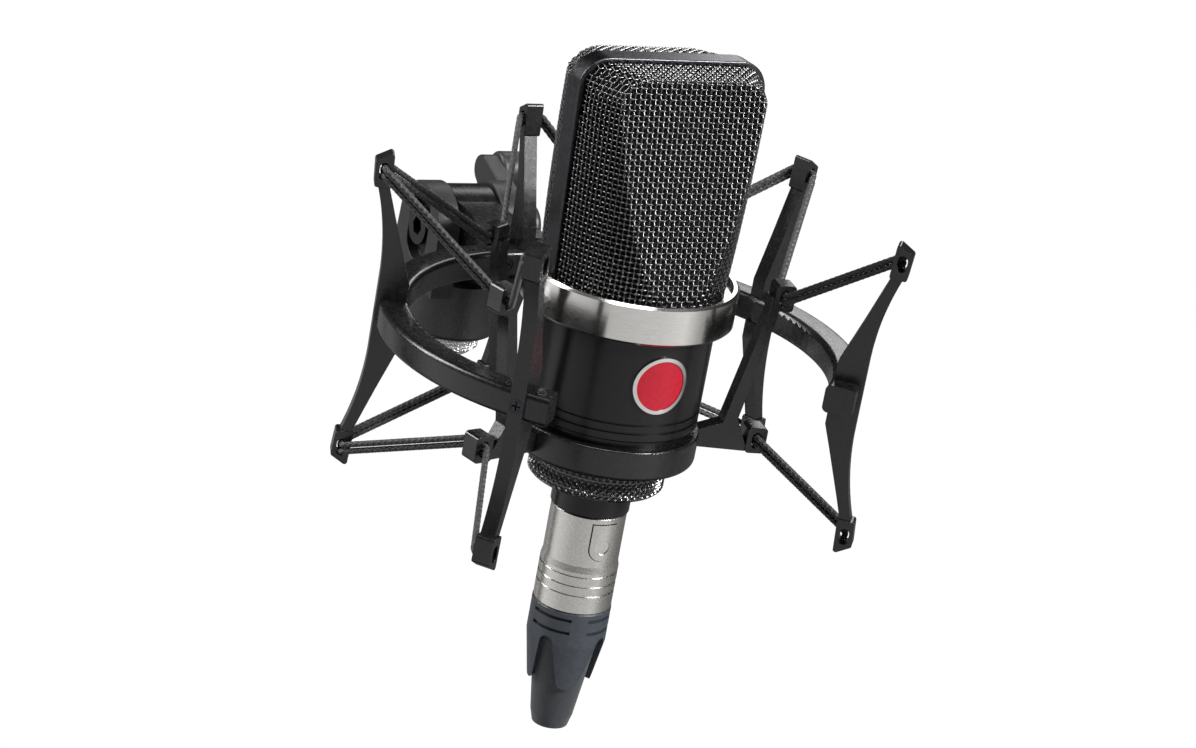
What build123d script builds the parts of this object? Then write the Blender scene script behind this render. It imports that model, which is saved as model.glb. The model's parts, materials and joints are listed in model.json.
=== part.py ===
from build123d import *
import math
import os

# Large-diaphragm condenser microphone in an elastic suspension on a tilting stand swivel,
# with a cable connector plugged in. Millimetres, +Z up along the microphone's axis.
# The origin is the mouth of the stand thread. The microphone's axis stands STAND_OFFSET
# in front of it, towards -Y, and heights on the microphone are counted from the top edge
# of its trim ring, TRIM_TOP above the origin. Azimuths run from the front, positive to +X.

# ---- shared fits ----
FIT = 0.02                # press or bonded fit between pieces of one body
RUN = 0.07                # radial clearance of a turning or sliding fit
AIR = 0.3                 # air between pieces of different bodies
CUT = 1.0                 # cuts run this far past the faces that they open

# ---- placing ----
STAND_OFFSET = 90.0       # stand axis to microphone axis
TRIM_TOP = 56.0           # trim ring's top edge above the stand thread's mouth

# ---- microphone ----
TRIM_R = 26.2
TRIM_HEIGHT = 9.7
TRIM_RIM_WALL = 1.5
TRIM_RECESS = 1.5
TRIM_WEB = 1.2
TRIM_WINDOW_R = 16.0
TRIM_CHAMFER = 0.6
BODY_R = 22.2
BODY_WALL = 1.5
BODY_BOTTOM = -36.0
GROOVE_HEIGHTS = (-31.4, -33.6)
GROOVE_DEPTH = 0.45
GROOVE_WIDTH = 0.7
DECK_THICKNESS = 1.5
BADGE_R = 7.2
BADGE_RIM = 0.9
BADGE_PROUD = 0.55
BADGE_HEIGHT = -21.0

HEAD_BASE_R = 22.8        # the wire mesh is round where it stands in the trim ring
HEAD_BELLY_R = 24.2       # and swells to this at mid height
HEAD_TOP = 53.1
HEAD_FACE_TOP = 52.1      # upper fold of the front panel
HEAD_FACE_DEPTH = 13.2    # its distance from the axis there
HEAD_SHOULDER_R = 25.0    # half width of the head's outline at the top
HEAD_CORNER_R = 7.0
HEAD_FACE_HALF = 20.8     # half width of the front panel's outline at its upper fold
HEAD_FACE_CORNER_R = 9.5
MESH_WALL = 0.9
BAND_WIDTH = 6.0          # metal frame between the two halves of the mesh
BAND_PROUD = 0.7
BAND_INNER = 2.2

CAPSULE_R = 13.4
CAPSULE_DEPTH = 8.0
CAPSULE_HEIGHT = 31.0
BACKPLATE_DEPTH = 6.0
SADDLE_WIDTH = 9.0
BOARD_WIDTH = 30.0
BOARD_THICKNESS = 1.6
BOARD_TOP = -6.0
BOARD_BOTTOM = -31.0
POST_R = 1.7
POST_X = 17.2
LEAD_X = 9.0              # capsule leads either side of the middle
LEAD_R = 0.5
LEAD_HOLE_R = 1.3
WIRE_END = -26.0          # where the inlet's wires are soldered to the board

BASE_PLUG_TOP = -33.0
NECK_R = 13.9
NECK_BOTTOM = -53.4
INLET_R = 9.87
INLET_BOTTOM = -61.4
SOCKET_R = 8.15           # bore that the cable connector's nose slides into
SOCKET_TOP = -46.4
INSULATOR_THICKNESS = 3.6
WIRE_BORE_R = 6.4
PIN_R = 1.19
PIN_CIRCLE_R = 3.75
PIN_TIP = -58.4
PIN_TAIL = -40.5

# ---- suspension cradle ----
CUP_TOP = -38.0
CUP_FLOOR_TOP = -44.0
CUP_BOTTOM = -46.0
CUP_R = 23.2
CUP_EDGE_R = 1.6
NUT_R = 17.0
NUT_BOTTOM = -54.2
CRADLE_AZIMUTHS = (-148.0, -78.0, 78.0, 148.0)
CRADLE_ARM_WIDTH = 4.2
CRADLE_HOOK_WIDTH = 5.0
CRADLE_HOOK_R = 39.2      # distance of the cord holes from the axis
CRADLE_HOOK_TOP = -3.8    # heights of the upper and lower cord holes
CRADLE_HOOK_LOW = -41.5
CRADLE_HOOK_SIZE = 5.2

# ---- outer frame ----
RING_INNER_R = 52.0
RING_OUTER_R = 59.5
RING_TOP = -15.0
RING_BOTTOM = -22.0
RING_EDGE = 1.4
RING_OVERRUN = 7.0        # degrees that the ring runs on past its last arms
TONGUE_SCREW_TURN = 6.2   # degrees from the rear arm to each screw of the tongue
TONGUE_SCREW_GRIP = 5.0
ARM_AZIMUTHS = (-111.6, -51.1, 51.1, 111.6, 180.0)
ARM_WIDTH = 3.7
ARM_SEAT_R = 56.0
ARM_OUTER_R = 60.2
ARM_HALF_LENGTH = 40.3    # the arms reach this far above and below the ring's middle
ARM_FOOT_STEP = 0.9       # the arms' feet grip the ring up to this from its inner face
ARM_FOOT_RISE = 4.5
ARM_INNER_BOW = 3.9
ARM_OUTER_BOW = 0.8
ARM_NECK_STEP = 1.0       # the tips stand this proud of the arms' outer edge
TIP_WIDTH = 4.6
TIP_LENGTH = 9.0
TIP_INNER_R = 60.6
TIP_OUTER_R = 65.4
TIP_HOLE_BACK = 4.9       # from the end of the tip to the middle of its cord hole
TIP_SLOPE = 2.6           # the tips' ends fall away outward by this
TIP_LEAN = 0.5
TIP_EDGE_R = 0.7
SCREW_HEAD_R = 1.7
SCREW_SHANK_R = 0.9
SCREW_HEAD_DEPTH = 1.2

# ---- elastic cords ----
CORD_R = 0.8
CORD_PITCH = 1.75         # the two runs of a doubled cord lie this far apart
CORD_HOLE_SPARE = 0.8
CORD_BEND_R = 1.6

# ---- tilting swivel on the stand ----
HINGE_HEIGHT = -22.0      # hinge axis, over the stand's axis
KNUCKLE_R = 11.2
KNUCKLE_WIDTH = 11.6
CHEEK_PROUD = 0.8
CHEEK_R = KNUCKLE_R + CHEEK_PROUD
CHEEK_WIDTH = 6.2
BASE_R = 14.0
KNUCKLE_CLEARANCE = 1.4   # between the knuckle and the fork's floor
BASE_TOP = HINGE_HEIGHT - KNUCKLE_R - KNUCKLE_CLEARANCE
BASE_BOTTOM = -50.0
TONGUE_TOP = -13.0
TONGUE_BOTTOM = -27.0
BOLT_R = 3.0
BOLT_HEAD_R = 5.0
BOLT_HEAD_HEIGHT = 3.4
RECESS_R = 5.8
WASHER_THICKNESS = 0.6
ADAPTER_R = 7.9
THREAD_R = 4.76           # stand thread, three eighths of an inch across
ADAPTER_ROOF = 1.9        # fork left above the adapter
ADAPTER_TOP = BASE_TOP - ADAPTER_ROOF
LOCK_NUT_R = 9.35
LOCK_NUT_HEIGHT = 4.4
LEVER_REACH = 21.0
LEVER_ANGLE = 26.0        # degrees above the horizontal, pointing to the rear
LEVER_THICKNESS = 4.6
LEVER_HUB_R = 7.0
LEVER_TIP_R = 4.0
KNOB_R = 5.0
KNOB_LENGTH = 9.0

# ---- cable connector ----
PLUG_R = 9.5
PLUG_GRIP_PROUD = 0.35
PLUG_GRIP_R = PLUG_R + PLUG_GRIP_PROUD
PLUG_BOTTOM = -87.4
PLUG_GROOVES = (-77.6, -80.2, -82.7)
PLUG_GROOVE_WIDTH = 0.5
PLUG_GROOVE_DEPTH = 0.3
PLUG_NOSE_TOP = -47.6
PLUG_NOSE_WALL = 0.95
INSERT_BOTTOM = -69.5
CONTACT_R = 1.8
CONTACT_BOTTOM = -72.5
CHUCK_TOP = -73.5
CHUCK_BOTTOM = -96.0
CABLE_R = 3.2
CHUCK_WALL = 2.2
LATCH_WIDTH = 6.4
LATCH_TOP = -63.4
LATCH_LENGTH = 9.6
LATCH_PROUD = 0.25
LATCH_THICKNESS = 1.7
BOOT_PROUD = 0.5          # the boot stands this proud of the connector's barrel
BOOT_R = PLUG_R + BOOT_PROUD
BOOT_TOP = -87.7
BOOT_SLEEVE_TOP = -84.0
FINGER_ROOT = -97.0
FINGER_TIP = -109.4
FINGER_TIP_R = 7.9
VALLEY_R = 1.9            # round head of each gap between the boot's fingers
VALLEY_FOOT = 3.5         # its half width above the fingers' round tips
FINGER_ROUND = 1.9
BOOT_SLITS = (-89.6, -93.0)
BOOT_SLIT_HEIGHT = 0.9
BOOT_SLIT_DEPTH = 0.8
BOOT_SLIT_BRIDGE = 4.4    # between the ends of two slits
FINGER_AZIMUTH = -13.0
GLAND_TIP = -122.0
GLAND_TIP_R = 4.6

os.makedirs("parts", exist_ok=True)

MIC = Plane(origin=(0, -STAND_OFFSET, TRIM_TOP), x_dir=(1, 0, 0), z_dir=(0, 0, 1))
SECTION = Plane(origin=MIC.origin, x_dir=(1, 0, 0), z_dir=(0, -1, 0))
SIDE = Plane(origin=MIC.origin, x_dir=(0, 1, 0), z_dir=(1, 0, 0))
MIC_AXIS = Axis(MIC.origin, (0, 0, 1))
STAND = Plane(origin=(0, 0, TRIM_TOP), x_dir=(1, 0, 0), z_dir=(0, 0, 1))
HINGE = Plane(origin=(0, 0, TRIM_TOP + HINGE_HEIGHT), x_dir=(0, 1, 0), z_dir=(1, 0, 0))


def radial_plane(azimuth, height=0):
    """Plane through the microphone's axis: local x outward, local y up."""
    turn = math.radians(azimuth)
    outward = (math.sin(turn), -math.cos(turn), 0)
    return Plane(MIC.origin + Vector(0, 0, height), x_dir=outward,
                 z_dir=(-math.cos(turn), -math.sin(turn), 0))


def facing_plane(azimuth, radius, height):
    """Plane square to a radius of the microphone, looking outward, local y up."""
    turn = math.radians(azimuth)
    outward = Vector(math.sin(turn), -math.cos(turn), 0)
    return Plane(MIC.origin + outward * radius + Vector(0, 0, height),
                 x_dir=(math.cos(turn), math.sin(turn), 0), z_dir=outward)


def turned(plane, axis, points):
    """A closed outline of (radius, height) points turned about an axis."""
    with BuildPart() as shape:
        with BuildSketch(plane):
            with BuildLine():
                Polyline(*points, close=True)
            make_face()
        revolve(axis=axis)
    return shape.part


def save(builder, name):
    builder.part.label = name
    export_step(builder.part, f"parts/{name}.step")


# ---------------------------------------------------------------- head ----

def barrel_radius(height):
    """Radius of the swelling mesh at a height above the trim ring."""
    share = min(max(height / HEAD_TOP, 0), 1)
    return HEAD_BASE_R + (HEAD_BELLY_R - HEAD_BASE_R) * math.sin(share * math.pi * 0.62)


def head_form(inset, bottom):
    """The closed outer form of the head, shrunk by inset on every side."""
    belly = HEAD_TOP * 0.5
    with BuildPart() as form:
        with BuildSketch(SECTION):
            with BuildLine():
                low = (HEAD_BASE_R - inset, bottom)
                mid = (barrel_radius(belly) - inset, belly)
                top = (barrel_radius(HEAD_TOP) - inset, HEAD_TOP)
                ThreePointArc(low, mid, top)
                Polyline(top, (0, HEAD_TOP), (0, bottom), low)
            make_face()
        revolve(axis=MIC_AXIS)
        with BuildSketch(SIDE):
            with BuildLine():
                Polyline((HEAD_BASE_R - inset, bottom),
                         (HEAD_FACE_DEPTH - inset, HEAD_FACE_TOP - inset),
                         (BAND_WIDTH / 2, HEAD_TOP - inset),
                         (-BAND_WIDTH / 2, HEAD_TOP - inset),
                         (inset - HEAD_FACE_DEPTH, HEAD_FACE_TOP - inset),
                         (inset - HEAD_BASE_R, bottom), close=True)
            make_face()
        extrude(amount=TRIM_R, both=True, mode=Mode.INTERSECT)
        add(rounded_envelope(inset, bottom), mode=Mode.INTERSECT)
    return form


def front_outline(half_low, half_top, top, corner, bottom):
    """Outline of the head from the front: splayed sides and round shoulders."""
    FilletPolyline((-half_low, bottom), (-half_top, top), (half_top, top), (half_low, bottom),
                   radius=corner, close=False)
    Line((half_low, bottom), (-half_low, bottom))


def band_outline(grow, bottom):
    """Outline where the metal band stands, grown outward."""
    front_outline(HEAD_BASE_R + grow, HEAD_SHOULDER_R + grow, HEAD_TOP + grow,
                  HEAD_CORNER_R + grow, bottom)


def rounded_envelope(inset, bottom):
    """Limits the head's shoulders, which draw in from the band towards each panel."""
    reach = HEAD_BASE_R + 1 - BAND_WIDTH / 2
    share = reach / (HEAD_FACE_DEPTH - BAND_WIDTH / 2)
    far_half = HEAD_SHOULDER_R + (HEAD_FACE_HALF - HEAD_SHOULDER_R) * share
    far_top = HEAD_TOP + (HEAD_FACE_TOP - HEAD_TOP) * share
    far_corner = HEAD_CORNER_R + (HEAD_FACE_CORNER_R - HEAD_CORNER_R) * share
    with BuildPart() as envelope:
        with BuildSketch(SECTION):
            with BuildLine():
                band_outline(-inset, bottom)
            make_face()
        extrude(amount=BAND_WIDTH / 2, both=True)
        for side in (-1, 1):
            with BuildSketch(SECTION.offset(side * BAND_WIDTH / 2)):
                with BuildLine():
                    band_outline(-inset, bottom)
                make_face()
            with BuildSketch(SECTION.offset(side * (BAND_WIDTH / 2 + reach))):
                with BuildLine():
                    front_outline(HEAD_BASE_R - inset, far_half - inset, far_top - inset,
                                  far_corner - inset, bottom)
                make_face()
            loft()
    return envelope.part


HEAD_BOTTOM = -TRIM_RECESS
outer_head = head_form(0, HEAD_BOTTOM)
inner_head = head_form(MESH_WALL, HEAD_BOTTOM - CUT)


def grille_half(name, side):
    """One half of the wire mesh, in front of (-1) or behind (+1) the metal band."""
    with BuildPart() as half:
        add(outer_head.part)
        add(inner_head.part, mode=Mode.SUBTRACT)
        with BuildSketch(MIC.offset(HEAD_BOTTOM)):
            with Locations((0, side * (BAND_WIDTH / 2 + TRIM_R))):
                Rectangle(TRIM_R * 3, TRIM_R * 2)
        extrude(amount=HEAD_TOP * 2, mode=Mode.INTERSECT)
    save(half, name)


grille_half("head_grille_front", -1)
grille_half("head_grille_rear", 1)

with BuildPart() as head_frame:
    with BuildSketch(SECTION):
        with BuildLine():
            band_outline(BAND_PROUD, HEAD_BOTTOM)
        make_face()
        with BuildLine():
            band_outline(BAND_PROUD - BAND_INNER, HEAD_BOTTOM)
        make_face(mode=Mode.SUBTRACT)
    extrude(amount=BAND_WIDTH / 2, both=True)
save(head_frame, "head_frame")

with BuildPart() as trim_ring:
    add(turned(SECTION, MIC_AXIS, [
        (BODY_R + FIT, -TRIM_HEIGHT),
        (TRIM_R - TRIM_CHAMFER, -TRIM_HEIGHT),
        (TRIM_R, TRIM_CHAMFER - TRIM_HEIGHT),
        (TRIM_R, -TRIM_CHAMFER),
        (TRIM_R - TRIM_CHAMFER, 0),
        (TRIM_R - TRIM_RIM_WALL, 0),
        (TRIM_R - TRIM_RIM_WALL, -TRIM_RECESS),
        (TRIM_WINDOW_R, -TRIM_RECESS),
        (TRIM_WINDOW_R, -TRIM_RECESS - TRIM_WEB),
        (BODY_R + FIT, -TRIM_RECESS - TRIM_WEB)]))
save(trim_ring, "trim_ring")

# ---------------------------------------------------------------- capsule ----
BODY_INNER_R = BODY_R - BODY_WALL
WEB_BOTTOM = -TRIM_RECESS - TRIM_WEB
DECK_BOTTOM = WEB_BOTTOM - DECK_THICKNESS

with BuildPart() as head_deck:
    with BuildSketch(MIC.offset(DECK_BOTTOM)):
        Circle(BODY_INNER_R - FIT)
        with Locations((-LEAD_X, 0), (LEAD_X, 0)):
            Circle(LEAD_HOLE_R, mode=Mode.SUBTRACT)
    extrude(amount=DECK_THICKNESS)
save(head_deck, "head_deck")

CAPSULE = Plane(origin=MIC.origin + Vector(0, 0, CAPSULE_HEIGHT), x_dir=(1, 0, 0),
                z_dir=(0, -1, 0))
BACKPLATE_R = CAPSULE_R - 2.0

with BuildPart() as capsule_ring:
    with BuildSketch(CAPSULE.offset(-CAPSULE_DEPTH / 2)):
        Circle(CAPSULE_R)
        Circle(BACKPLATE_R, mode=Mode.SUBTRACT)
    extrude(amount=CAPSULE_DEPTH)
    with BuildSketch(CAPSULE.offset(CAPSULE_DEPTH / 2)):
        with PolarLocations(CAPSULE_R - 1.0, 8):
            Circle(0.45)
    extrude(amount=-0.5, mode=Mode.SUBTRACT)
save(capsule_ring, "capsule_ring")

with BuildPart() as capsule_backplate:
    with BuildSketch(CAPSULE.offset(-BACKPLATE_DEPTH / 2)):
        Circle(BACKPLATE_R - FIT)
    extrude(amount=BACKPLATE_DEPTH)
    with BuildSketch(CAPSULE.offset(-BACKPLATE_DEPTH / 2)):
        for circle_radius, count in ((4.0, 8), (7.6, 14)):
            with PolarLocations(circle_radius, count):
                Circle(0.5)
    extrude(amount=BACKPLATE_DEPTH, mode=Mode.SUBTRACT)
save(capsule_backplate, "capsule_backplate")

with BuildPart() as capsule_diaphragm:
    with BuildSketch(CAPSULE.offset(BACKPLATE_DEPTH / 2 + 0.05)):
        Circle(BACKPLATE_R - FIT)
    extrude(amount=0.1)
    with BuildSketch(CAPSULE.offset(BACKPLATE_DEPTH / 2 + 0.15)):
        Circle(1.2)
    extrude(amount=0.5)
save(capsule_diaphragm, "capsule_diaphragm")

with BuildPart() as capsule_saddle:
    with BuildSketch(MIC.offset(WEB_BOTTOM)):
        RectangleRounded(SADDLE_WIDTH * 2.4, SADDLE_WIDTH * 1.4, 1.5)
        with Locations((-LEAD_X, 0), (LEAD_X, 0)):
            Circle(LEAD_HOLE_R, mode=Mode.SUBTRACT)
    extrude(amount=3)
    with BuildSketch(MIC.offset(WEB_BOTTOM + 3)):
        Rectangle(SADDLE_WIDTH, SADDLE_WIDTH)
    extrude(amount=CAPSULE_HEIGHT - WEB_BOTTOM - 3 - CAPSULE_R * 0.8)
    with BuildSketch(CAPSULE.offset(-SADDLE_WIDTH)):
        Circle(CAPSULE_R + FIT)
    extrude(amount=SADDLE_WIDTH * 2, mode=Mode.SUBTRACT)
save(capsule_saddle, "capsule_saddle")

with BuildPart() as capsule_leads:
    lead_top = CAPSULE_HEIGHT - math.sqrt(CAPSULE_R ** 2 - LEAD_X ** 2) - LEAD_R
    with BuildSketch(MIC.offset(BOARD_TOP)):
        with Locations((-LEAD_X, 0), (LEAD_X, 0)):
            Circle(LEAD_R)
    extrude(amount=lead_top - BOARD_TOP)
save(capsule_leads, "capsule_leads")

# ---------------------------------------------------------------- body ----
with BuildPart() as body_tube:
    with BuildSketch(MIC.offset(BODY_BOTTOM)):
        Circle(BODY_R)
        Circle(BODY_INNER_R, mode=Mode.SUBTRACT)
    extrude(amount=WEB_BOTTOM - BODY_BOTTOM)
    for groove_height in GROOVE_HEIGHTS:
        with BuildSketch(MIC.offset(groove_height - GROOVE_WIDTH / 2)):
            Circle(BODY_R + 1)
            Circle(BODY_R - GROOVE_DEPTH, mode=Mode.SUBTRACT)
        extrude(amount=GROOVE_WIDTH, mode=Mode.SUBTRACT)
    lower_rim = body_tube.edges().filter_by(GeomType.CIRCLE).group_by(Axis.Z)[0]
    chamfer(lower_rim.sort_by(SortBy.RADIUS)[-1], 0.4)
save(body_tube, "body_tube")

BADGE = Plane(origin=MIC.origin + Vector(0, 0, BADGE_HEIGHT), x_dir=(1, 0, 0), z_dir=(0, -1, 0))


def badge_piece(name, outer_radius, hole_radius, proud):
    """Round plate that follows the front of the body tube."""
    with BuildPart() as plate:
        with BuildSketch(MIC.offset(BADGE_HEIGHT - BADGE_R * 1.5)):
            Circle(BODY_R + proud)
            Circle(BODY_R, mode=Mode.SUBTRACT)
        extrude(amount=BADGE_R * 3)
        with BuildSketch(BADGE):
            Circle(outer_radius)
            if hole_radius:
                Circle(hole_radius, mode=Mode.SUBTRACT)
        extrude(amount=BODY_R * 1.5, mode=Mode.INTERSECT)
    save(plate, name)


badge_piece("badge_rim", BADGE_R, BADGE_R - BADGE_RIM, BADGE_PROUD)
badge_piece("badge_enamel", BADGE_R - BADGE_RIM - FIT, 0, BADGE_PROUD * 0.6)

with BuildPart() as chassis_posts:
    with BuildSketch(MIC.offset(BASE_PLUG_TOP)):
        with Locations((-POST_X, 0), (POST_X, 0)):
            Circle(POST_R)
    extrude(amount=DECK_BOTTOM - BASE_PLUG_TOP)
save(chassis_posts, "chassis_posts")

with BuildPart() as circuit_board:
    with BuildSketch(Plane(MIC.origin + Vector(0, BOARD_THICKNESS / 2, 0),
                           x_dir=(1, 0, 0), z_dir=(0, -1, 0))):
        with Locations((0, (BOARD_TOP + BOARD_BOTTOM) / 2)):
            Rectangle(BOARD_WIDTH + 0.6, BOARD_TOP - BOARD_BOTTOM)
        with Locations((-12, BOARD_TOP - 4), (12, BOARD_TOP - 4)):
            Circle(1.1, mode=Mode.SUBTRACT)
    extrude(amount=BOARD_THICKNESS)
save(circuit_board, "circuit_board")

BOARD_FRONT = Plane(MIC.origin + Vector(0, -BOARD_THICKNESS / 2, 0), x_dir=(1, 0, 0),
                    z_dir=(0, -1, 0))
BOARD_REAR = Plane(MIC.origin + Vector(0, BOARD_THICKNESS / 2, 0), x_dir=(-1, 0, 0),
                   z_dir=(0, 1, 0))

with BuildPart() as board_capacitors:
    with BuildSketch(BOARD_FRONT):
        with Locations((-8, -14), (0, -14), (8, -14)):
            Circle(3.1)
    extrude(amount=9)
    with BuildSketch(BOARD_REAR):
        with Locations((-7, -16), (6, -22)):
            Rectangle(9, 5)
    extrude(amount=6)
save(board_capacitors, "board_capacitors")

with BuildPart() as board_transistor:
    with BuildSketch(BOARD_FRONT):
        with Locations((0, -21.5)):
            Circle(2.4)
    extrude(amount=4.4)
save(board_transistor, "board_transistor")

with BuildPart() as mic_base:
    with BuildSketch(MIC.offset(CUP_FLOOR_TOP)):
        Circle(BODY_INNER_R - FIT)
    extrude(amount=BASE_PLUG_TOP - CUP_FLOOR_TOP)
    with BuildSketch(MIC.offset(NECK_BOTTOM)):
        Circle(NECK_R)
    extrude(amount=CUP_FLOOR_TOP - NECK_BOTTOM)
    with BuildSketch(MIC.offset(INLET_BOTTOM)):
        Circle(INLET_R)
    extrude(amount=NECK_BOTTOM - INLET_BOTTOM)
    with BuildSketch(MIC.offset(INLET_BOTTOM)):
        Circle(SOCKET_R)
    extrude(amount=SOCKET_TOP + INSULATOR_THICKNESS - INLET_BOTTOM, mode=Mode.SUBTRACT)
    with BuildSketch(MIC.offset(SOCKET_TOP)):
        Circle(WIRE_BORE_R)
    extrude(amount=BASE_PLUG_TOP - SOCKET_TOP, mode=Mode.SUBTRACT)
save(mic_base, "mic_base")

with BuildPart() as inlet_insulator:
    with BuildSketch(MIC.offset(SOCKET_TOP)):
        Circle(SOCKET_R - FIT)
        with PolarLocations(PIN_CIRCLE_R, 3, start_angle=-90):
            Circle(PIN_R, mode=Mode.SUBTRACT)
    extrude(amount=INSULATOR_THICKNESS)
save(inlet_insulator, "inlet_insulator")

with BuildPart() as inlet_pins:
    with BuildSketch(MIC.offset(PIN_TIP)):
        with PolarLocations(PIN_CIRCLE_R, 3, start_angle=-90):
            Circle(PIN_R)
    extrude(amount=PIN_TAIL - PIN_TIP)
    fillet(inlet_pins.edges().filter_by(GeomType.CIRCLE).group_by(Axis.Z)[0], PIN_R * 0.7)
save(inlet_pins, "inlet_pins")

with BuildPart() as inlet_wires:
    for turn_degrees in (-90, 30, 150):
        turn = math.radians(turn_degrees)
        pin_x, pin_y = PIN_CIRCLE_R * math.cos(turn), PIN_CIRCLE_R * math.sin(turn)
        board_y = math.copysign(BOARD_THICKNESS / 2 + LEAD_R + FIT, pin_y)
        points = [MIC.origin + Vector(x, y, z) for x, y, z in (
            (pin_x, pin_y, PIN_TAIL), (pin_x, pin_y, PIN_TAIL + 5),
            (pin_x, board_y, BOARD_BOTTOM), (pin_x, board_y, WIRE_END))]
        with BuildLine() as wire:
            FilletPolyline(*points, radius=2.5)
        with BuildSketch(Plane(wire.line @ 0, z_dir=wire.line % 0)):
            Circle(LEAD_R)
        sweep(path=wire.line)
save(inlet_wires, "inlet_wires")

# ---------------------------------------------------------------- cradle ----
with BuildPart() as cradle_cup:
    with BuildSketch(MIC.offset(CUP_BOTTOM)):
        Circle(CUP_R)
    extrude(amount=CUP_TOP - CUP_BOTTOM)
    fillet(cradle_cup.edges().filter_by(GeomType.CIRCLE).group_by(Axis.Z)[0], CUP_EDGE_R)
    fillet(cradle_cup.edges().filter_by(GeomType.CIRCLE).group_by(Axis.Z)[-1], 0.5)
    with BuildSketch(MIC.offset(CUP_FLOOR_TOP)):
        Circle(BODY_INNER_R)
    extrude(amount=CUP_TOP - CUP_FLOOR_TOP, mode=Mode.SUBTRACT)
    with BuildSketch(MIC.offset(CUP_BOTTOM)):
        Circle(NECK_R + FIT)
    extrude(amount=CUP_FLOOR_TOP - CUP_BOTTOM, mode=Mode.SUBTRACT)
save(cradle_cup, "cradle_cup")

CORD_HOLE_WIDTH = 2 * CORD_R + CORD_HOLE_SPARE
CORD_HOLE_LENGTH = CORD_HOLE_WIDTH + CORD_PITCH


def cradle_arm(name, azimuth):
    """Upright with an upper and a lower cord hook, on a spoke from the cup."""
    hook = CRADLE_HOOK_SIZE / 2
    low, high = CRADLE_HOOK_LOW, CRADLE_HOOK_TOP
    with BuildPart() as arm:
        with BuildSketch(radial_plane(azimuth)):
            with BuildLine():
                Polyline((CUP_R - 1.2, CUP_BOTTOM + CUP_EDGE_R + 0.4),
                         (CRADLE_HOOK_R - hook, CUP_BOTTOM + CUP_EDGE_R - 0.2),
                         (CRADLE_HOOK_R - hook + 0.6, low - hook),
                         (CRADLE_HOOK_R - hook - 3.2, low + hook + 2.6),
                         (CRADLE_HOOK_R - 0.8, high - hook - 2.2),
                         (CRADLE_HOOK_R - 0.8, high),
                         (CRADLE_HOOK_R - 3.4, high),
                         (CRADLE_HOOK_R - 3.4, high - hook - 1.2),
                         (29.6, CUP_TOP + 0.6),
                         (CUP_R - 1.2, CUP_TOP - 2.0), close=True)
            make_face()
        extrude(amount=CRADLE_ARM_WIDTH / 2, both=True)
        for hole_height in (low, high):
            with BuildSketch(radial_plane(azimuth)):
                with Locations((CRADLE_HOOK_R, hole_height)):
                    RectangleRounded(CRADLE_HOOK_SIZE, CRADLE_HOOK_SIZE + 1.6, 1.0)
            extrude(amount=CRADLE_HOOK_WIDTH / 2, both=True)
            with BuildSketch(radial_plane(azimuth)):
                with Locations((CRADLE_HOOK_R, hole_height)):
                    SlotOverall(CORD_HOLE_LENGTH, CORD_HOLE_WIDTH, rotation=90)
            extrude(amount=CRADLE_HOOK_WIDTH, both=True, mode=Mode.SUBTRACT)
        with BuildSketch(MIC.offset(CUP_BOTTOM - 1)):
            Circle(CUP_R + FIT)
        extrude(amount=CUP_TOP - CUP_BOTTOM + 2, mode=Mode.SUBTRACT)
    save(arm, name)


cradle_names = ("cradle_arm_rear_left", "cradle_arm_front_left",
                "cradle_arm_front_right", "cradle_arm_rear_right")
for cradle_name, cradle_azimuth in zip(cradle_names, CRADLE_AZIMUTHS):
    cradle_arm(cradle_name, cradle_azimuth)

with BuildPart() as retaining_nut:
    with BuildSketch(MIC.offset(NUT_BOTTOM)):
        Circle(NUT_R)
    extrude(amount=CUP_BOTTOM - AIR - NUT_BOTTOM)
    chamfer(retaining_nut.edges().filter_by(GeomType.CIRCLE), 0.7)
    with BuildSketch(MIC.offset(NUT_BOTTOM)):
        Circle(NECK_R + RUN)
    extrude(amount=CUP_BOTTOM - NUT_BOTTOM, mode=Mode.SUBTRACT)
save(retaining_nut, "retaining_nut")

# ---------------------------------------------------------------- outer frame ----
RING_END = abs(ARM_AZIMUTHS[1]) - RING_OVERRUN
RING_MID = (RING_TOP + RING_BOTTOM) / 2

with BuildPart() as frame_ring:
    with BuildSketch(radial_plane(RING_END)):
        with Locations(((RING_INNER_R + RING_OUTER_R) / 2, RING_MID)):
            RectangleRounded(RING_OUTER_R - RING_INNER_R, RING_TOP - RING_BOTTOM, RING_EDGE)
    revolve(axis=MIC_AXIS, revolution_arc=360 - 2 * RING_END)
    for arm_azimuth in ARM_AZIMUTHS:
        with BuildSketch(radial_plane(arm_azimuth)):
            with Locations(((ARM_SEAT_R + RING_OUTER_R + 4) / 2, RING_MID)):
                Rectangle(RING_OUTER_R + 4 - ARM_SEAT_R, (RING_TOP - RING_BOTTOM) * 2)
        extrude(amount=ARM_WIDTH / 2 + FIT, both=True, mode=Mode.SUBTRACT)
        seat = facing_plane(arm_azimuth, ARM_SEAT_R - 3, RING_MID)
        with BuildSketch(seat):
            Circle(SCREW_SHANK_R)
        extrude(amount=6, mode=Mode.SUBTRACT)
    for side in (-1, 1):
        with BuildSketch(facing_plane(180 + side * TONGUE_SCREW_TURN, RING_INNER_R - 1, RING_MID)):
            Circle(SCREW_SHANK_R)
        extrude(amount=RING_OUTER_R - RING_INNER_R + 2, mode=Mode.SUBTRACT)
        with BuildSketch(facing_plane(180 + side * TONGUE_SCREW_TURN, RING_INNER_R - 1, RING_MID)):
            Circle(SCREW_HEAD_R)
        extrude(amount=1 + SCREW_HEAD_DEPTH + 0.2, mode=Mode.SUBTRACT)
save(frame_ring, "frame_ring")


TIP_HOLE_R = (TIP_INNER_R + TIP_OUTER_R) / 2
TIP_HOLE_RISE = ARM_HALF_LENGTH - TIP_HOLE_BACK


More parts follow.
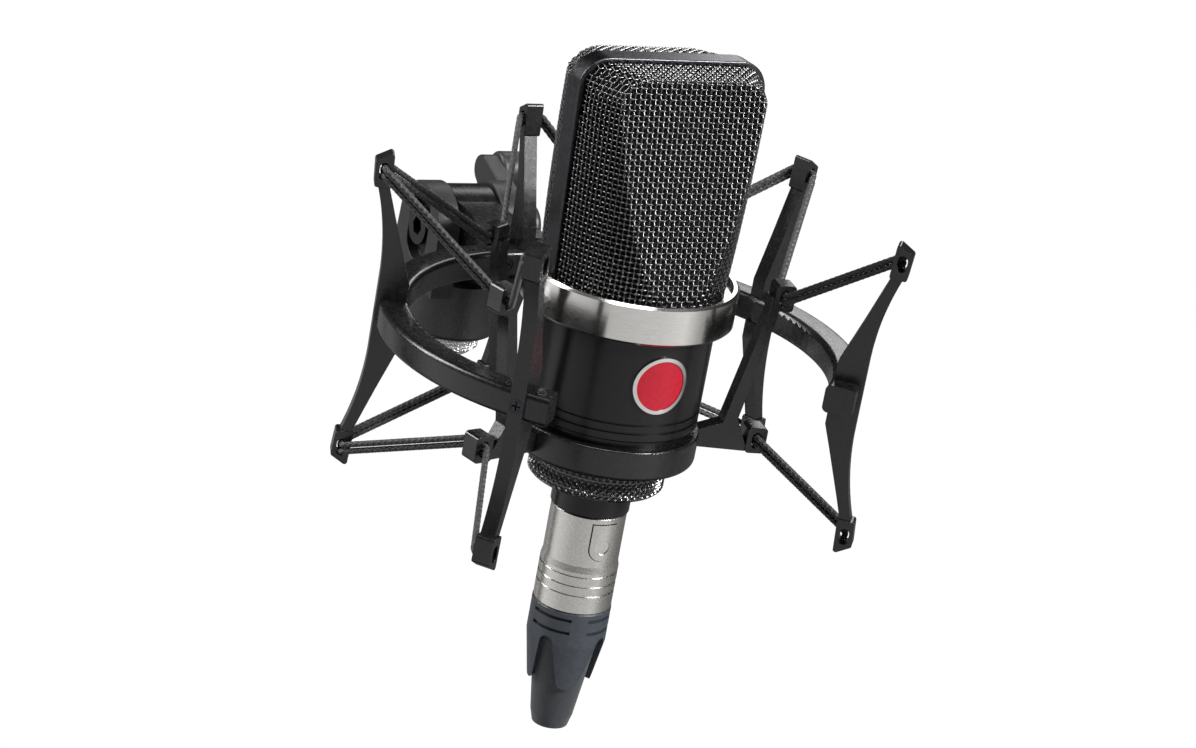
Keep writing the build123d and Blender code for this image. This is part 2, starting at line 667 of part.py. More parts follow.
def frame_arm(name, azimuth):
    """Bow-shaped arm let into the ring, with a cord hole through each tip."""
    ring_half = (RING_TOP - RING_BOTTOM) / 2
    neck = ARM_HALF_LENGTH - TIP_LENGTH
    with BuildPart() as arm:
        foot_r = RING_INNER_R + ARM_FOOT_STEP
        with BuildSketch(radial_plane(azimuth, RING_MID)):
            with BuildLine():
                foot = Polyline((ARM_SEAT_R, 0), (ARM_SEAT_R, ring_half + FIT),
                                (foot_r, ring_half + FIT), (foot_r, ring_half + ARM_FOOT_RISE))
                inner = ThreePointArc(foot @ 1, (foot_r + ARM_INNER_BOW, neck * 0.6),
                                      (TIP_INNER_R + TIP_LEAN, neck))
                root = Line(inner @ 1, (TIP_OUTER_R - TIP_LEAN - ARM_NECK_STEP, neck))
                outer = ThreePointArc(root @ 1, (ARM_OUTER_R + ARM_OUTER_BOW, neck * 0.62),
                                      (ARM_OUTER_R, ring_half + ARM_FOOT_RISE))
                Polyline(outer @ 1, (ARM_OUTER_R, 0), (ARM_SEAT_R, 0))
            make_face()
            mirror(about=Plane.XZ)
        extrude(amount=ARM_WIDTH / 2, both=True)
        with BuildSketch(radial_plane(azimuth, RING_MID)):
            with BuildLine():
                FilletPolyline((TIP_INNER_R, neck), (TIP_INNER_R + TIP_LEAN, ARM_HALF_LENGTH),
                               (TIP_OUTER_R, ARM_HALF_LENGTH - TIP_SLOPE),
                               (TIP_OUTER_R - TIP_LEAN, neck), radius=TIP_EDGE_R, close=True)
            make_face()
            mirror(about=Plane.XZ)
        extrude(amount=TIP_WIDTH / 2, both=True)
        with BuildSketch(radial_plane(azimuth, RING_MID)):
            with Locations((TIP_HOLE_R, TIP_HOLE_RISE), (TIP_HOLE_R, -TIP_HOLE_RISE)):
                SlotOverall(CORD_HOLE_LENGTH, CORD_HOLE_WIDTH, rotation=90)
        extrude(amount=TIP_WIDTH, both=True, mode=Mode.SUBTRACT)
        with BuildSketch(facing_plane(azimuth, ARM_SEAT_R - 1, RING_MID)):
            Circle(SCREW_SHANK_R)
        extrude(amount=ARM_OUTER_R - ARM_SEAT_R + 2, mode=Mode.SUBTRACT)
        with BuildSketch(facing_plane(azimuth, ARM_OUTER_R - SCREW_HEAD_DEPTH, RING_MID)):
            Circle(SCREW_HEAD_R)
        extrude(amount=SCREW_HEAD_DEPTH * 2, mode=Mode.SUBTRACT)
    save(arm, name)


arm_names = ("frame_arm_left", "frame_arm_front_left", "frame_arm_front_right",
             "frame_arm_right", "frame_arm_rear")
for arm_name, arm_azimuth in zip(arm_names, ARM_AZIMUTHS):
    frame_arm(arm_name, arm_azimuth)

with BuildPart() as frame_arm_screws:
    for arm_azimuth in ARM_AZIMUTHS:
        with BuildSketch(facing_plane(arm_azimuth, ARM_SEAT_R - 3 + FIT, RING_MID)):
            Circle(SCREW_SHANK_R - FIT)
        extrude(amount=ARM_OUTER_R - SCREW_HEAD_DEPTH - ARM_SEAT_R + 3 - FIT)
        with BuildSketch(facing_plane(arm_azimuth, ARM_OUTER_R - SCREW_HEAD_DEPTH, RING_MID)):
            Circle(SCREW_HEAD_R - FIT)
        extrude(amount=SCREW_HEAD_DEPTH)
        head_face = facing_plane(arm_azimuth, ARM_OUTER_R, RING_MID)
        with BuildSketch(head_face):
            Rectangle(SCREW_HEAD_R * 1.3, 0.4)
            Rectangle(0.4, SCREW_HEAD_R * 1.3)
        extrude(amount=-0.6, mode=Mode.SUBTRACT)
save(frame_arm_screws, "frame_arm_screws")

# ---------------------------------------------------------------- elastic cords ----

def at(azimuth, radius, height):
    turn = math.radians(azimuth)
    return MIC.origin + Vector(radius * math.sin(turn), -radius * math.cos(turn), height)


def through(azimuth, radius, height, half_width):
    """The two points where a cord enters and leaves a hole, going round by azimuth."""
    turn = math.radians(azimuth)
    along = Vector(math.cos(turn), math.sin(turn), 0) * half_width
    middle = at(azimuth, radius, height)
    return [middle - along, middle + along]


def elastic(name, tip_height, hook_height):
    """Doubled cord, laced in and out round the cradle from one front arm to the other."""
    order = sorted([(azimuth % 360, True) for azimuth in ARM_AZIMUTHS]
                   + [(azimuth % 360, False) for azimuth in CRADLE_AZIMUTHS])
    with BuildPart() as cord:
        for side in (-1, 1):
            offset = side * CORD_PITCH / 2
            points = []
            for azimuth, outer in order:
                if outer:
                    points += through(azimuth, TIP_HOLE_R, tip_height + offset,
                                      TIP_WIDTH / 2 + CORD_R)
                else:
                    points += through(azimuth, CRADLE_HOOK_R, hook_height + offset,
                                      CRADLE_HOOK_WIDTH / 2 + CORD_R)
            with BuildLine() as route:
                FilletPolyline(*points, radius=CORD_BEND_R)
            start = Plane(route.line @ 0, z_dir=route.line % 0)
            with BuildSketch(start):
                Circle(CORD_R)
            sweep(path=route.line)
    save(cord, name)


elastic("upper_elastic", RING_MID + TIP_HOLE_RISE, CRADLE_HOOK_TOP)
elastic("lower_elastic", RING_MID - TIP_HOLE_RISE, CRADLE_HOOK_LOW)

# ---------------------------------------------------------------- tongue ----
HINGE_CLEAR = KNUCKLE_WIDTH / 2
CHEEK_INNER = HINGE_CLEAR + WASHER_THICKNESS + RUN
CHEEK_OUTER = CHEEK_INNER + CHEEK_WIDTH
TONGUE_FRONT = RING_OUTER_R - 4 - STAND_OFFSET    # before the ring trims it
TONGUE_ROOT = 11.0        # half width where it meets the ring

with BuildPart() as frame_tongue:
    with BuildSketch(STAND.offset(TONGUE_BOTTOM)):
        with BuildLine():
            Polyline((-TONGUE_ROOT, TONGUE_FRONT), (TONGUE_ROOT, TONGUE_FRONT),
                     (HINGE_CLEAR, -KNUCKLE_R - 3.5), (HINGE_CLEAR, 0),
                     (-HINGE_CLEAR, 0), (-HINGE_CLEAR, -KNUCKLE_R - 3.5), close=True)
        make_face()
    extrude(amount=TONGUE_TOP - TONGUE_BOTTOM)
    with BuildSketch(HINGE.offset(-TONGUE_ROOT)):
        with BuildLine():
            Polyline((TONGUE_FRONT, RING_TOP - HINGE_HEIGHT + 0.6),
                     (0, KNUCKLE_R), (0, -KNUCKLE_R + 4.5),
                     (TONGUE_FRONT, RING_BOTTOM - HINGE_HEIGHT - 3.0), close=True)
        make_face()
    extrude(amount=TONGUE_ROOT * 2, mode=Mode.INTERSECT)
    with BuildSketch(HINGE.offset(-HINGE_CLEAR)):
        Circle(KNUCKLE_R)
    extrude(amount=KNUCKLE_WIDTH)
    with BuildSketch(HINGE.offset(-HINGE_CLEAR)):
        Circle(BOLT_R + RUN)
    extrude(amount=KNUCKLE_WIDTH, mode=Mode.SUBTRACT)
    with BuildSketch(MIC.offset(TONGUE_BOTTOM - 20)):
        Circle(RING_OUTER_R + FIT)
    extrude(amount=60, mode=Mode.SUBTRACT)
    with BuildSketch(STAND.offset(TONGUE_BOTTOM - 1)):
        with Locations((0, ARM_OUTER_R - STAND_OFFSET - 5)):
            Rectangle(ARM_WIDTH + 2 * FIT, 10 + 2 * FIT + 1.6)
    extrude(amount=TONGUE_TOP - TONGUE_BOTTOM + 2, mode=Mode.SUBTRACT)
    for side in (-1, 1):
        with BuildSketch(facing_plane(180 + side * TONGUE_SCREW_TURN, RING_OUTER_R - 1, RING_MID)):
            Circle(SCREW_SHANK_R)
        extrude(amount=TONGUE_SCREW_GRIP + 1, mode=Mode.SUBTRACT)
save(frame_tongue, "frame_tongue")

with BuildPart() as tongue_screws:
    head_start = RING_INNER_R + 0.2
    for side in (-1, 1):
        with BuildSketch(facing_plane(180 + side * TONGUE_SCREW_TURN, head_start, RING_MID)):
            Circle(SCREW_HEAD_R - FIT)
        extrude(amount=SCREW_HEAD_DEPTH)
        with BuildSketch(facing_plane(180 + side * TONGUE_SCREW_TURN, head_start, RING_MID)):
            Circle(SCREW_SHANK_R - FIT)
        extrude(amount=RING_OUTER_R - head_start + TONGUE_SCREW_GRIP - FIT)
        with BuildSketch(facing_plane(180 + side * TONGUE_SCREW_TURN, head_start, RING_MID)):
            Rectangle(SCREW_HEAD_R * 1.3, 0.4)
            Rectangle(0.4, SCREW_HEAD_R * 1.3)
        extrude(amount=0.6, mode=Mode.SUBTRACT)
save(tongue_screws, "tongue_screws")

# ---------------------------------------------------------------- swivel ----
CHEEK_FOOT = BASE_TOP - HINGE_HEIGHT

with BuildPart() as swivel_fork:
    with BuildSketch(STAND.offset(BASE_BOTTOM)):
        Circle(BASE_R)
    extrude(amount=BASE_TOP - BASE_BOTTOM)
    chamfer(swivel_fork.edges().filter_by(GeomType.CIRCLE).group_by(Axis.Z)[0], 1.2)
    for side in (-1, 1):
        with BuildSketch(HINGE.offset(side * (CHEEK_INNER + CHEEK_OUTER) / 2)):
            Circle(CHEEK_R)
            with BuildLine():
                Polyline((-CHEEK_R, 0), (CHEEK_R, 0), (BASE_R - 0.6, CHEEK_FOOT - 3),
                         (-BASE_R + 0.6, CHEEK_FOOT - 3), close=True)
            make_face()
        extrude(amount=CHEEK_WIDTH / 2, both=True)
    with BuildSketch(HINGE.offset(-CHEEK_OUTER - 1)):
        Circle(BOLT_R + FIT)
    extrude(amount=2 * CHEEK_OUTER + 2, mode=Mode.SUBTRACT)
    with BuildSketch(HINGE.offset(-CHEEK_OUTER)):
        SlotOverall(RECESS_R * 3.2, RECESS_R * 2, rotation=90)
    extrude(amount=BOLT_HEAD_HEIGHT - 0.4, mode=Mode.SUBTRACT)
    with BuildSketch(STAND.offset(BASE_BOTTOM)):
        Circle(ADAPTER_R + FIT)
    extrude(amount=ADAPTER_TOP - BASE_BOTTOM, mode=Mode.SUBTRACT)
save(swivel_fork, "swivel_fork")

with BuildPart() as thread_adapter:
    with BuildSketch(Plane.XY):
        Circle(ADAPTER_R)
        Circle(THREAD_R, mode=Mode.SUBTRACT)
    extrude(amount=TRIM_TOP + ADAPTER_TOP)
    chamfer(thread_adapter.edges().filter_by(GeomType.CIRCLE).group_by(Axis.Z)[0]
            .sort_by(SortBy.RADIUS)[-1], 0.5)
save(thread_adapter, "thread_adapter")

with BuildPart() as lock_nut:
    with BuildSketch(STAND.offset(BASE_BOTTOM - AIR - LOCK_NUT_HEIGHT)):
        Circle(LOCK_NUT_R)
        Circle(ADAPTER_R + RUN, mode=Mode.SUBTRACT)
    extrude(amount=LOCK_NUT_HEIGHT)
    chamfer(lock_nut.edges().filter_by(GeomType.CIRCLE).group_by(SortBy.RADIUS)[-1], 0.4)
save(lock_nut, "lock_nut")

HEAD_SEAT = CHEEK_OUTER - BOLT_HEAD_HEIGHT + 0.4
LEVER_X = CHEEK_OUTER + AIR

with BuildPart() as hinge_bolt:
    with BuildSketch(HINGE.offset(-HEAD_SEAT)):
        Circle(BOLT_R)
    extrude(amount=HEAD_SEAT + CHEEK_OUTER + LEVER_THICKNESS + 2)
    with BuildSketch(HINGE.offset(-HEAD_SEAT)):
        Circle(BOLT_HEAD_R)
    extrude(amount=-BOLT_HEAD_HEIGHT)
    with BuildSketch(HINGE.offset(-HEAD_SEAT - BOLT_HEAD_HEIGHT)):
        RegularPolygon(2.6, 6)
    extrude(amount=2, mode=Mode.SUBTRACT)
save(hinge_bolt, "hinge_bolt")

with BuildPart() as friction_washers:
    for side in (-1, 1):
        with BuildSketch(HINGE.offset(side * (CHEEK_INNER - WASHER_THICKNESS / 2))):
            Circle(KNUCKLE_R - 1.0)
            Circle(BOLT_R + RUN, mode=Mode.SUBTRACT)
        extrude(amount=WASHER_THICKNESS / 2, both=True)
save(friction_washers, "friction_washers")

LEVER_TURN = math.radians(LEVER_ANGLE)
LEVER_TIP = (LEVER_REACH * math.cos(LEVER_TURN), LEVER_REACH * math.sin(LEVER_TURN))

with BuildPart() as clamp_lever:
    with BuildSketch(HINGE.offset(LEVER_X)):
        with BuildLine():
            hub = CenterArc((0, 0), LEVER_HUB_R, LEVER_ANGLE + 65, 230)
            tip = CenterArc(LEVER_TIP, LEVER_TIP_R, LEVER_ANGLE - 80, 160)
            Line(hub @ 1, tip @ 0)
            Line(tip @ 1, hub @ 0)
        make_face()
    extrude(amount=LEVER_THICKNESS)
    with BuildSketch(HINGE.offset(LEVER_X)):
        Circle(LEVER_HUB_R - 0.6)
    extrude(amount=LEVER_THICKNESS + 3.4)
    fillet(clamp_lever.faces().sort_by(Axis.X)[-1].edges(), 1.4)
    with BuildSketch(HINGE.offset(LEVER_X)):
        Circle(BOLT_R + RUN)
    extrude(amount=LEVER_THICKNESS + 2.2, mode=Mode.SUBTRACT)
save(clamp_lever, "clamp_lever")

with BuildPart() as lever_knob:
    with BuildSketch(HINGE.offset(LEVER_X + LEVER_THICKNESS)):
        with Locations(LEVER_TIP):
            Circle(KNOB_R)
    extrude(amount=KNOB_LENGTH)
    fillet(lever_knob.edges().filter_by(GeomType.CIRCLE).group_by(Axis.X)[-1], 2.4)
    fillet(lever_knob.edges().filter_by(GeomType.CIRCLE).group_by(Axis.X)[0], 1.0)
save(lever_knob, "lever_knob")

# ---------------------------------------------------------------- cable connector ----
PLUG_TOP = INLET_BOTTOM - AIR
NOSE_R = SOCKET_R - RUN
INSERT_R = NOSE_R - PLUG_NOSE_WALL
PLUG_BORE_R = PLUG_R - 1.3

with BuildPart() as plug_shell:
    add(turned(SECTION, MIC_AXIS, [
        (INSERT_R + FIT, PLUG_NOSE_TOP), (NOSE_R - 0.5, PLUG_NOSE_TOP),
        (NOSE_R, PLUG_NOSE_TOP - 0.5), (NOSE_R, PLUG_TOP),
        (PLUG_R - 0.4, PLUG_TOP), (PLUG_R, PLUG_TOP - 0.4),
        (PLUG_R, PLUG_GROOVES[0] + 2.6), (PLUG_GRIP_R, PLUG_GROOVES[0] + 1.0),
        (PLUG_GRIP_R, PLUG_BOTTOM), (PLUG_BORE_R, PLUG_BOTTOM),
        (PLUG_BORE_R, PLUG_TOP - 0.8), (INSERT_R + FIT, PLUG_TOP - 0.8)]))
    for groove in PLUG_GROOVES:
        with BuildSketch(MIC.offset(groove - PLUG_GROOVE_WIDTH / 2)):
            Circle(PLUG_GRIP_R + 1)
            Circle(PLUG_GRIP_R - PLUG_GROOVE_DEPTH, mode=Mode.SUBTRACT)
        extrude(amount=PLUG_GROOVE_WIDTH, mode=Mode.SUBTRACT)
    with BuildSketch(SECTION):
        with Locations((0, LATCH_TOP - LATCH_LENGTH / 2)):
            SlotOverall(LATCH_LENGTH + 0.4, LATCH_WIDTH + 0.4, rotation=90)
        with Locations((0, LATCH_TOP - LATCH_LENGTH / 4 + 0.2)):
            Rectangle(LATCH_WIDTH + 0.4, LATCH_LENGTH / 2)
    extrude(amount=PLUG_GRIP_R + 1, mode=Mode.SUBTRACT)
save(plug_shell, "plug_shell")

with BuildPart() as plug_latch:
    with BuildSketch(MIC.offset(LATCH_TOP - LATCH_LENGTH)):
        Circle(PLUG_R + LATCH_PROUD)
        Circle(PLUG_R + LATCH_PROUD - LATCH_THICKNESS, mode=Mode.SUBTRACT)
    extrude(amount=LATCH_LENGTH)
    with BuildSketch(SECTION):
        with Locations((0, LATCH_TOP - LATCH_LENGTH / 2)):
            SlotOverall(LATCH_LENGTH, LATCH_WIDTH, rotation=90)
        with Locations((0, LATCH_TOP - LATCH_LENGTH / 4)):
            Rectangle(LATCH_WIDTH, LATCH_LENGTH / 2)
    extrude(amount=PLUG_GRIP_R + 1, mode=Mode.INTERSECT)
    with BuildSketch(Plane(MIC.origin + Vector(0, -PLUG_R - LATCH_PROUD,
                                               LATCH_TOP - LATCH_LENGTH * 0.62),
                           x_dir=(1, 0, 0), z_dir=(0, -1, 0))):
        Circle(2.0)
    extrude(amount=-0.35, mode=Mode.SUBTRACT)
save(plug_latch, "plug_latch")

with BuildPart() as plug_insert:
    with BuildSketch(MIC.offset(INSERT_BOTTOM)):
        Circle(INSERT_R)
        with PolarLocations(PIN_CIRCLE_R, 3, start_angle=-90):
            Circle(CONTACT_R + FIT, mode=Mode.SUBTRACT)
    extrude(amount=PLUG_NOSE_TOP - INSERT_BOTTOM)
    with BuildSketch(MIC.offset(LATCH_TOP - LATCH_LENGTH - 0.4)):
        Circle(INSERT_R + 1)
        Circle(INSERT_R - 0.7, mode=Mode.SUBTRACT)
        with Locations((0, TRIM_R / 2)):
            Rectangle(TRIM_R, TRIM_R, mode=Mode.SUBTRACT)
    extrude(amount=LATCH_LENGTH + 0.8, mode=Mode.SUBTRACT)
save(plug_insert, "plug_insert")

with BuildPart() as plug_contacts:
    with BuildSketch(MIC.offset(CONTACT_BOTTOM)):
        with PolarLocations(PIN_CIRCLE_R, 3, start_angle=-90):
            Circle(CONTACT_R)
    extrude(amount=PLUG_NOSE_TOP - CONTACT_BOTTOM)
    with BuildSketch(MIC.offset(PIN_TIP - 1.5)):
        with PolarLocations(PIN_CIRCLE_R, 3, start_angle=-90):
            Circle(PIN_R + RUN)
    extrude(amount=PLUG_NOSE_TOP - PIN_TIP + 1.5, mode=Mode.SUBTRACT)
save(plug_contacts, "plug_contacts")

with BuildPart() as cable_chuck:
    with BuildSketch(MIC.offset(CHUCK_BOTTOM)):
        Circle(CABLE_R + CHUCK_WALL)
        Circle(CABLE_R, mode=Mode.SUBTRACT)
    extrude(amount=CHUCK_TOP - CHUCK_BOTTOM)
    with BuildSketch(MIC.offset(BOOT_SLEEVE_TOP + AIR)):
        Circle(PLUG_BORE_R - FIT)
        Circle(CABLE_R + CHUCK_WALL, mode=Mode.SUBTRACT)
    extrude(amount=CHUCK_TOP - BOOT_SLEEVE_TOP - AIR)
save(cable_chuck, "cable_chuck")

GLAND_TOP = FINGER_ROOT + 3.0
GLAND_R = BOOT_R - 1.8
GLAND_MID_R = FINGER_TIP_R - 1.25
CHUCK_CLEAR_R = CABLE_R + CHUCK_WALL + AIR

with BuildPart() as boot_collar:
    add(turned(SECTION, MIC_AXIS, [
        (PLUG_BORE_R - 1.6, BOOT_SLEEVE_TOP), (PLUG_BORE_R - RUN, BOOT_SLEEVE_TOP),
        (PLUG_BORE_R - RUN, BOOT_TOP), (BOOT_R - 0.3, BOOT_TOP),
        (BOOT_R, BOOT_TOP - 0.3), (BOOT_R, FINGER_ROOT), (FINGER_TIP_R, FINGER_TIP),
        (GLAND_MID_R + FIT, FINGER_TIP), (GLAND_R + FIT, FINGER_ROOT),
        (GLAND_R + FIT, GLAND_TOP), (PLUG_BORE_R - 1.6, GLAND_TOP)]))
    valley_height = FINGER_ROOT - FINGER_TIP
    for quarter in range(4):
        with BuildSketch(facing_plane(FINGER_AZIMUTH + 45 + 90 * quarter, 0, FINGER_TIP)):
            with BuildLine():
                arch = CenterArc((0, valley_height), VALLEY_R, 0, 180)
                Line(arch @ 0, (VALLEY_FOOT, FINGER_ROUND))
                right = ThreePointArc((VALLEY_FOOT, FINGER_ROUND),
                                      (VALLEY_FOOT + 0.3 * FINGER_ROUND, 0.3 * FINGER_ROUND),
                                      (VALLEY_FOOT + FINGER_ROUND, 0))
                Line(arch @ 1, (-VALLEY_FOOT, FINGER_ROUND))
                left = ThreePointArc((-VALLEY_FOOT, FINGER_ROUND),
                                     (-VALLEY_FOOT - 0.3 * FINGER_ROUND, 0.3 * FINGER_ROUND),
                                     (-VALLEY_FOOT - FINGER_ROUND, 0))
                Polyline(right @ 1, (VALLEY_FOOT + FINGER_ROUND, -1),
                         (-VALLEY_FOOT - FINGER_ROUND, -1), left @ 1)
            make_face()
        extrude(amount=BOOT_R + 2, mode=Mode.SUBTRACT)
    for slit in BOOT_SLITS:
        with BuildSketch(MIC.offset(slit - BOOT_SLIT_HEIGHT / 2)):
            Circle(BOOT_R + 1)
            Circle(BOOT_R - BOOT_SLIT_DEPTH, mode=Mode.SUBTRACT)
            for quarter in range(2):
                Rectangle(BOOT_SLIT_BRIDGE, BOOT_R * 2 + 2,
                          rotation=FINGER_AZIMUTH + 90 * quarter, mode=Mode.SUBTRACT)
        extrude(amount=BOOT_SLIT_HEIGHT, mode=Mode.SUBTRACT)
save(boot_collar, "boot_collar")

with BuildPart() as boot_gland:
    add(turned(SECTION, MIC_AXIS, [
        (CHUCK_CLEAR_R, GLAND_TOP), (GLAND_R, GLAND_TOP), (GLAND_R, FINGER_ROOT),
        (GLAND_MID_R, FINGER_TIP), (GLAND_TIP_R + 0.8, GLAND_TIP + 3),
        (GLAND_TIP_R, GLAND_TIP), (CABLE_R, GLAND_TIP), (CABLE_R, CHUCK_BOTTOM - AIR),
        (CHUCK_CLEAR_R, CHUCK_BOTTOM - AIR)]))
save(boot_gland, "boot_gland")
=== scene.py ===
import bisect
import json
import math
import bpy
import bmesh
from mathutils import Matrix, Vector
from mathutils.bvhtree import BVHTree

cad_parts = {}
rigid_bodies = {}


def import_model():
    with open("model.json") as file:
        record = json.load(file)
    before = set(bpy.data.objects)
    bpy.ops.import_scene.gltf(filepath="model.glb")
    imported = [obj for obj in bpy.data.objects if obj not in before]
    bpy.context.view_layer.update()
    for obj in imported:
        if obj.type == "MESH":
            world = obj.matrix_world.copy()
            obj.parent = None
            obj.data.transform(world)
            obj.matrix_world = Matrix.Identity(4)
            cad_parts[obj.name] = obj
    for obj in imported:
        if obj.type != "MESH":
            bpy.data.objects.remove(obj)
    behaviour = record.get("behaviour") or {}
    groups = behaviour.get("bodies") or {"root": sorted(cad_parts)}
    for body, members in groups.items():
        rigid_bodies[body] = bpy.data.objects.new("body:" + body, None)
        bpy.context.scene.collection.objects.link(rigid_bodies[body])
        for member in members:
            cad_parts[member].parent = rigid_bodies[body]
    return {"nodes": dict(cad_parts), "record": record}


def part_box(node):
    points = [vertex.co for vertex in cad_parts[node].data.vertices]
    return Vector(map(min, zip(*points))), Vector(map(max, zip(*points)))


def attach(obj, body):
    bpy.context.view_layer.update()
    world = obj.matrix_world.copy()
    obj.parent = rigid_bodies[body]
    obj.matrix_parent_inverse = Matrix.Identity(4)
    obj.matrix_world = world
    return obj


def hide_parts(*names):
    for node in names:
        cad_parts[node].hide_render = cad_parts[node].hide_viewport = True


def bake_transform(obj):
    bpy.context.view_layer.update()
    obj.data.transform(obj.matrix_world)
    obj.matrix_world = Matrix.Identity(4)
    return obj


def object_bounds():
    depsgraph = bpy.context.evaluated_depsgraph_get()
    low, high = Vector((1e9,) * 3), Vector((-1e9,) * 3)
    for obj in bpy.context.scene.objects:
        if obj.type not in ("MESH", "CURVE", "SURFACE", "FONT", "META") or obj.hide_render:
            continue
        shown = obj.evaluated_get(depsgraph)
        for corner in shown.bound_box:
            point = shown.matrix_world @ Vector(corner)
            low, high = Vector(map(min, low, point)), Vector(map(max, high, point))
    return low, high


for leftover in list(bpy.data.objects):
    bpy.data.objects.remove(leftover, do_unlink=True)

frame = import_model()
cadBounds = [list(corner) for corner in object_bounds()]
nodes = frame["nodes"]
mm = 0.001

ringLow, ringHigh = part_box("trim_ring")
micX = (ringLow[0] + ringHigh[0]) / 2
micY = (ringLow[1] + ringHigh[1]) / 2
trimTop = ringHigh[2]


def onMic(azimuth, radius, height):
    # azimuth in degrees from the front, radius and height in millimetres from the trim ring's top
    turn = math.radians(azimuth)
    return Vector((micX + radius * mm * math.sin(turn), micY - radius * mm * math.cos(turn),
                   trimTop + height * mm))


print("frame loaded,", len(nodes), "nodes")

# camera: long lens, above the microphone's left shoulder, rolled so that it leans
cameraSettings = {
    "lens": 101.2,
    "sensor": 36,
    "nearest": 0.05,
    "distance": 0.8088,
    "azimuth": -30.98,
    "elevation": 20.13,
    "roll": -10.43,
    "targetRight": 0.00844,    # where the trim ring's middle falls, from the view's middle
    "targetUp": 0.02509,
}


def placeCamera(c):
    turn, rise = math.radians(c["azimuth"]), math.radians(c["elevation"])
    roll = math.radians(c["roll"])
    back = Vector((math.sin(turn) * math.cos(rise), -math.cos(turn) * math.cos(rise),
                   math.sin(rise)))
    flatRight = Vector((math.cos(turn), math.sin(turn), 0))
    flatUp = back.cross(flatRight)
    right = flatRight * math.cos(roll) - flatUp * math.sin(roll)
    up = flatRight * math.sin(roll) + flatUp * math.cos(roll)
    spot = onMic(0, 0, 0) + back * c["distance"] - right * c["targetRight"] - up * c["targetUp"]
    data = bpy.data.cameras.new("camera")
    data.lens = c["lens"]
    data.sensor_width = c["sensor"]
    data.clip_start = c["nearest"]
    camera = bpy.data.objects.new("camera", data)
    bpy.context.collection.objects.link(camera)
    turnMatrix = Matrix((right, up, back)).transposed().to_4x4()
    camera.matrix_world = Matrix.Translation(spot) @ turnMatrix
    bpy.context.scene.camera = camera


placeCamera(cameraSettings)
print("camera placed")

# finishes: each wanders between two tones and two roughnesses, over a fine bump
grainSettings = {
    "roughSpan": (0.3, 0.7),        # the noise's range that the roughness is spread over
    "toneSpan": (0.35, 0.65),       # and the range between the two tones
    "toneDetail": 4.0,
    "bumpDetail": 2.0,
}


def newMaterial(name):
    material = bpy.data.materials.new(name)
    material.use_nodes = True
    tree = material.node_tree
    return material, tree, tree.nodes["Principled BSDF"]


def noiseOn(tree, scale, detail, stretch):
    # noise laid over the piece in its own place, scale in cells per metre
    place = tree.nodes.new("ShaderNodeTexCoord")
    mapping = tree.nodes.new("ShaderNodeMapping")
    mapping.inputs["Scale"].default_value = stretch
    noise = tree.nodes.new("ShaderNodeTexNoise")
    noise.inputs["Scale"].default_value = scale
    noise.inputs["Detail"].default_value = detail
    tree.links.new(place.outputs["Object"], mapping.inputs["Vector"])
    tree.links.new(mapping.outputs["Vector"], noise.inputs["Vector"])
    return noise.outputs["Fac"]


def spread(tree, source, low, high):
    ramp = tree.nodes.new("ShaderNodeMapRange")
    ramp.inputs["From Min"].default_value = grainSettings["roughSpan"][0]
    ramp.inputs["From Max"].default_value = grainSettings["roughSpan"][1]
    ramp.inputs["To Min"].default_value = low
    ramp.inputs["To Max"].default_value = high
    tree.links.new(source, ramp.inputs["Value"])
    return ramp.outputs["Result"]


def blendColours(tree, source, dark, light):
    ramp = tree.nodes.new("ShaderNodeValToRGB")
    ramp.color_ramp.elements[0].position = grainSettings["toneSpan"][0]
    ramp.color_ramp.elements[1].position = grainSettings["toneSpan"][1]
    ramp.color_ramp.elements[0].color = (*dark, 1)
    ramp.color_ramp.elements[1].color = (*light, 1)
    tree.links.new(source, ramp.inputs["Fac"])
    return ramp.outputs["Color"]


def addBump(tree, shader, source, depth):
    bump = tree.nodes.new("ShaderNodeBump")
    bump.inputs["Distance"].default_value = depth
    bump.inputs["Strength"].default_value = 1.0
    tree.links.new(source, bump.inputs["Height"])
    tree.links.new(bump.outputs["Normal"], shader.inputs["Normal"])


def grainedFinish(name, dark, light, rough, grain, bump=0.0, bumpGrain=0, metal=0.0, coat=0.0,
                  sheen=0.0, stretch=(1, 1, 1), specular=0.5, coatRough=0.1):
    # grain and bumpGrain in cells per metre, bump in metres
    material, tree, shader = newMaterial(name)
    tone = noiseOn(tree, grain, grainSettings["toneDetail"], stretch)
    tree.links.new(blendColours(tree, tone, dark, light), shader.inputs["Base Color"])
    tree.links.new(spread(tree, tone, rough[0], rough[1]), shader.inputs["Roughness"])
    shader.inputs["Metallic"].default_value = metal
    shader.inputs["Coat Weight"].default_value = coat
    shader.inputs["Coat Roughness"].default_value = coatRough
    shader.inputs["Sheen Weight"].default_value = sheen
    shader.inputs["Specular IOR Level"].default_value = specular
    if bump:
        addBump(tree, shader, noiseOn(tree, bumpGrain, grainSettings["bumpDetail"], stretch), bump)
    return material


